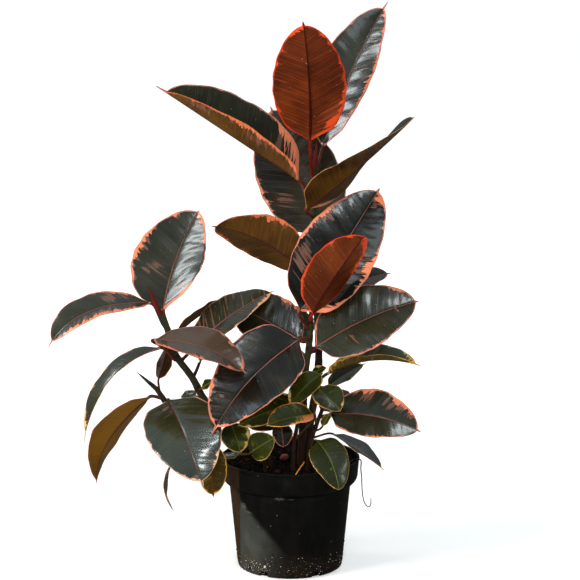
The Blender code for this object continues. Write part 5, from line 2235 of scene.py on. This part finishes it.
@dataclass(frozen=True)
class SoftBox:
    """A square area light that shines at the plant. A glossy one is mirrored in the leaves."""

    name: str
    place: tuple
    size: float
    power: float
    colour: tuple
    glossy: bool = True

    TARGET = (-0.04, 0.0, 0.32)

    def hang(self) -> None:
        """Hang the light."""
        data = bpy.data.lights.new(self.name, "AREA")
        data.shape = "SQUARE"
        data.size = self.size
        data.energy = self.power
        data.color = self.colour
        lamp = bpy.data.objects.new(self.name, data)
        lamp.location = self.place
        aim = Vector(self.TARGET) - Vector(self.place)
        lamp.rotation_euler = aim.to_track_quat("-Z", "Y").to_euler()
        lamp.visible_glossy = self.glossy
        bpy.context.scene.collection.objects.link(lamp)


@dataclass
class Studio:
    """The pale floor, the soft lights and the camera at the photograph's angle."""

    camera_place: tuple = (0.0, -2.6, 0.86)
    camera_pitch: float = 78.74
    focal_pixels: float = 2206.0
    image_pixels: float = 580.0
    sensor: float = 36.0
    floor_size: float = 60.0
    room_colour: tuple = (0.78, 0.92, 1.0, 1.0)
    room_low: float = 0.07
    room_high: float = 0.42
    room_seen: float = 1.1

    LIGHTS = (
        SoftBox("left", (-1.44, 0.62, 1.18), 0.4, 5.6, (0.9, 0.98, 1.0)),
        SoftBox("window", (-1.13, -1.09, 1.63), 0.46, 2.3, (0.76, 0.92, 1.0)),
        SoftBox("right", (0.92, 0.48, 1.72), 0.42, 6.0, (0.9, 0.98, 1.0)),
        SoftBox("top", (-0.06, -1.7, 1.5), 0.26, 4.2, (0.9, 0.98, 1.0)),
        SoftBox("left fill", (-1.6, -0.8, 1.1), 0.9, 38.0, (1.0, 0.95, 0.88), glossy=False),
        SoftBox("front fill", (0.3, -2.2, 1.4), 1.2, 24.0, (1.0, 0.95, 0.9), glossy=False),
        SoftBox("back fill", (0.8, 1.9, 1.2), 1.2, 20.0, (1.0, 0.96, 0.92), glossy=False),
    )

    def add_floor(self) -> None:
        """Lay the floor."""
        shape = bmesh.new()
        bmesh.ops.create_grid(shape, x_segments=1, y_segments=1, size=self.floor_size / 2)
        floor = new_object("studio_floor", mesh_of("studio_floor", shape))
        floor.data.materials.append(FloorFinish().material())

    def add_world(self) -> None:
        """Fill the room with soft light from above that the camera sees as white."""
        world = bpy.data.worlds.new("studio")
        world.use_nodes = True
        graph = Graph(world.node_tree)
        seen = graph.node("ShaderNodeLightPath").outputs["Is Camera Ray"]
        up = graph.split(graph.object_coordinates())[2]
        sky = graph.rise(up, -0.1, 0.8, self.room_low, self.room_high)
        graph.fill(world.node_tree.nodes["Background"], {
            "Color": self.room_colour,
            "Strength": graph.times_plus(seen, graph.minus(self.room_seen, sky), sky)})
        bpy.context.scene.world = world
        bpy.context.scene.view_settings.view_transform = "Standard"

    def add_camera(self) -> None:
        """Stand the camera where the photograph was taken from."""
        data = bpy.data.cameras.new("camera")
        data.sensor_width = self.sensor
        data.lens = self.sensor * self.focal_pixels / self.image_pixels
        data.clip_end = 100.0
        camera = bpy.data.objects.new("camera", data)
        camera.location = self.camera_place
        camera.rotation_euler = (math.radians(self.camera_pitch), 0.0, 0.0)
        bpy.context.scene.collection.objects.link(camera)
        bpy.context.scene.camera = camera

    def build(self) -> None:
        """Set up the studio."""
        self.add_floor()
        self.add_world()
        for light in self.LIGHTS:
            light.hang()
        self.add_camera()


def main() -> None:
    """Build the plant and its studio."""
    logging.basicConfig(level=logging.INFO, format="%(name)s: %(message)s")
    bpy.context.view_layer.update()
    groups = Groups()
    crumbs = crumb_tree()
    shoots = shoot_tree()
    earths = {finish: finish.material(groups) for finish in (PEAT, PERLITE, CHIPS)}
    pot = Pot()
    pot.build(groups)
    pot.add_dirt(crumbs, earths)
    Soil(pot).build(crumbs, earths)
    Shoots().build(groups, shoots)
    Foliage().build(groups)
    Litter(pot).build(groups, shoots)
    Studio().build()


if __name__ == "__main__":
    main()
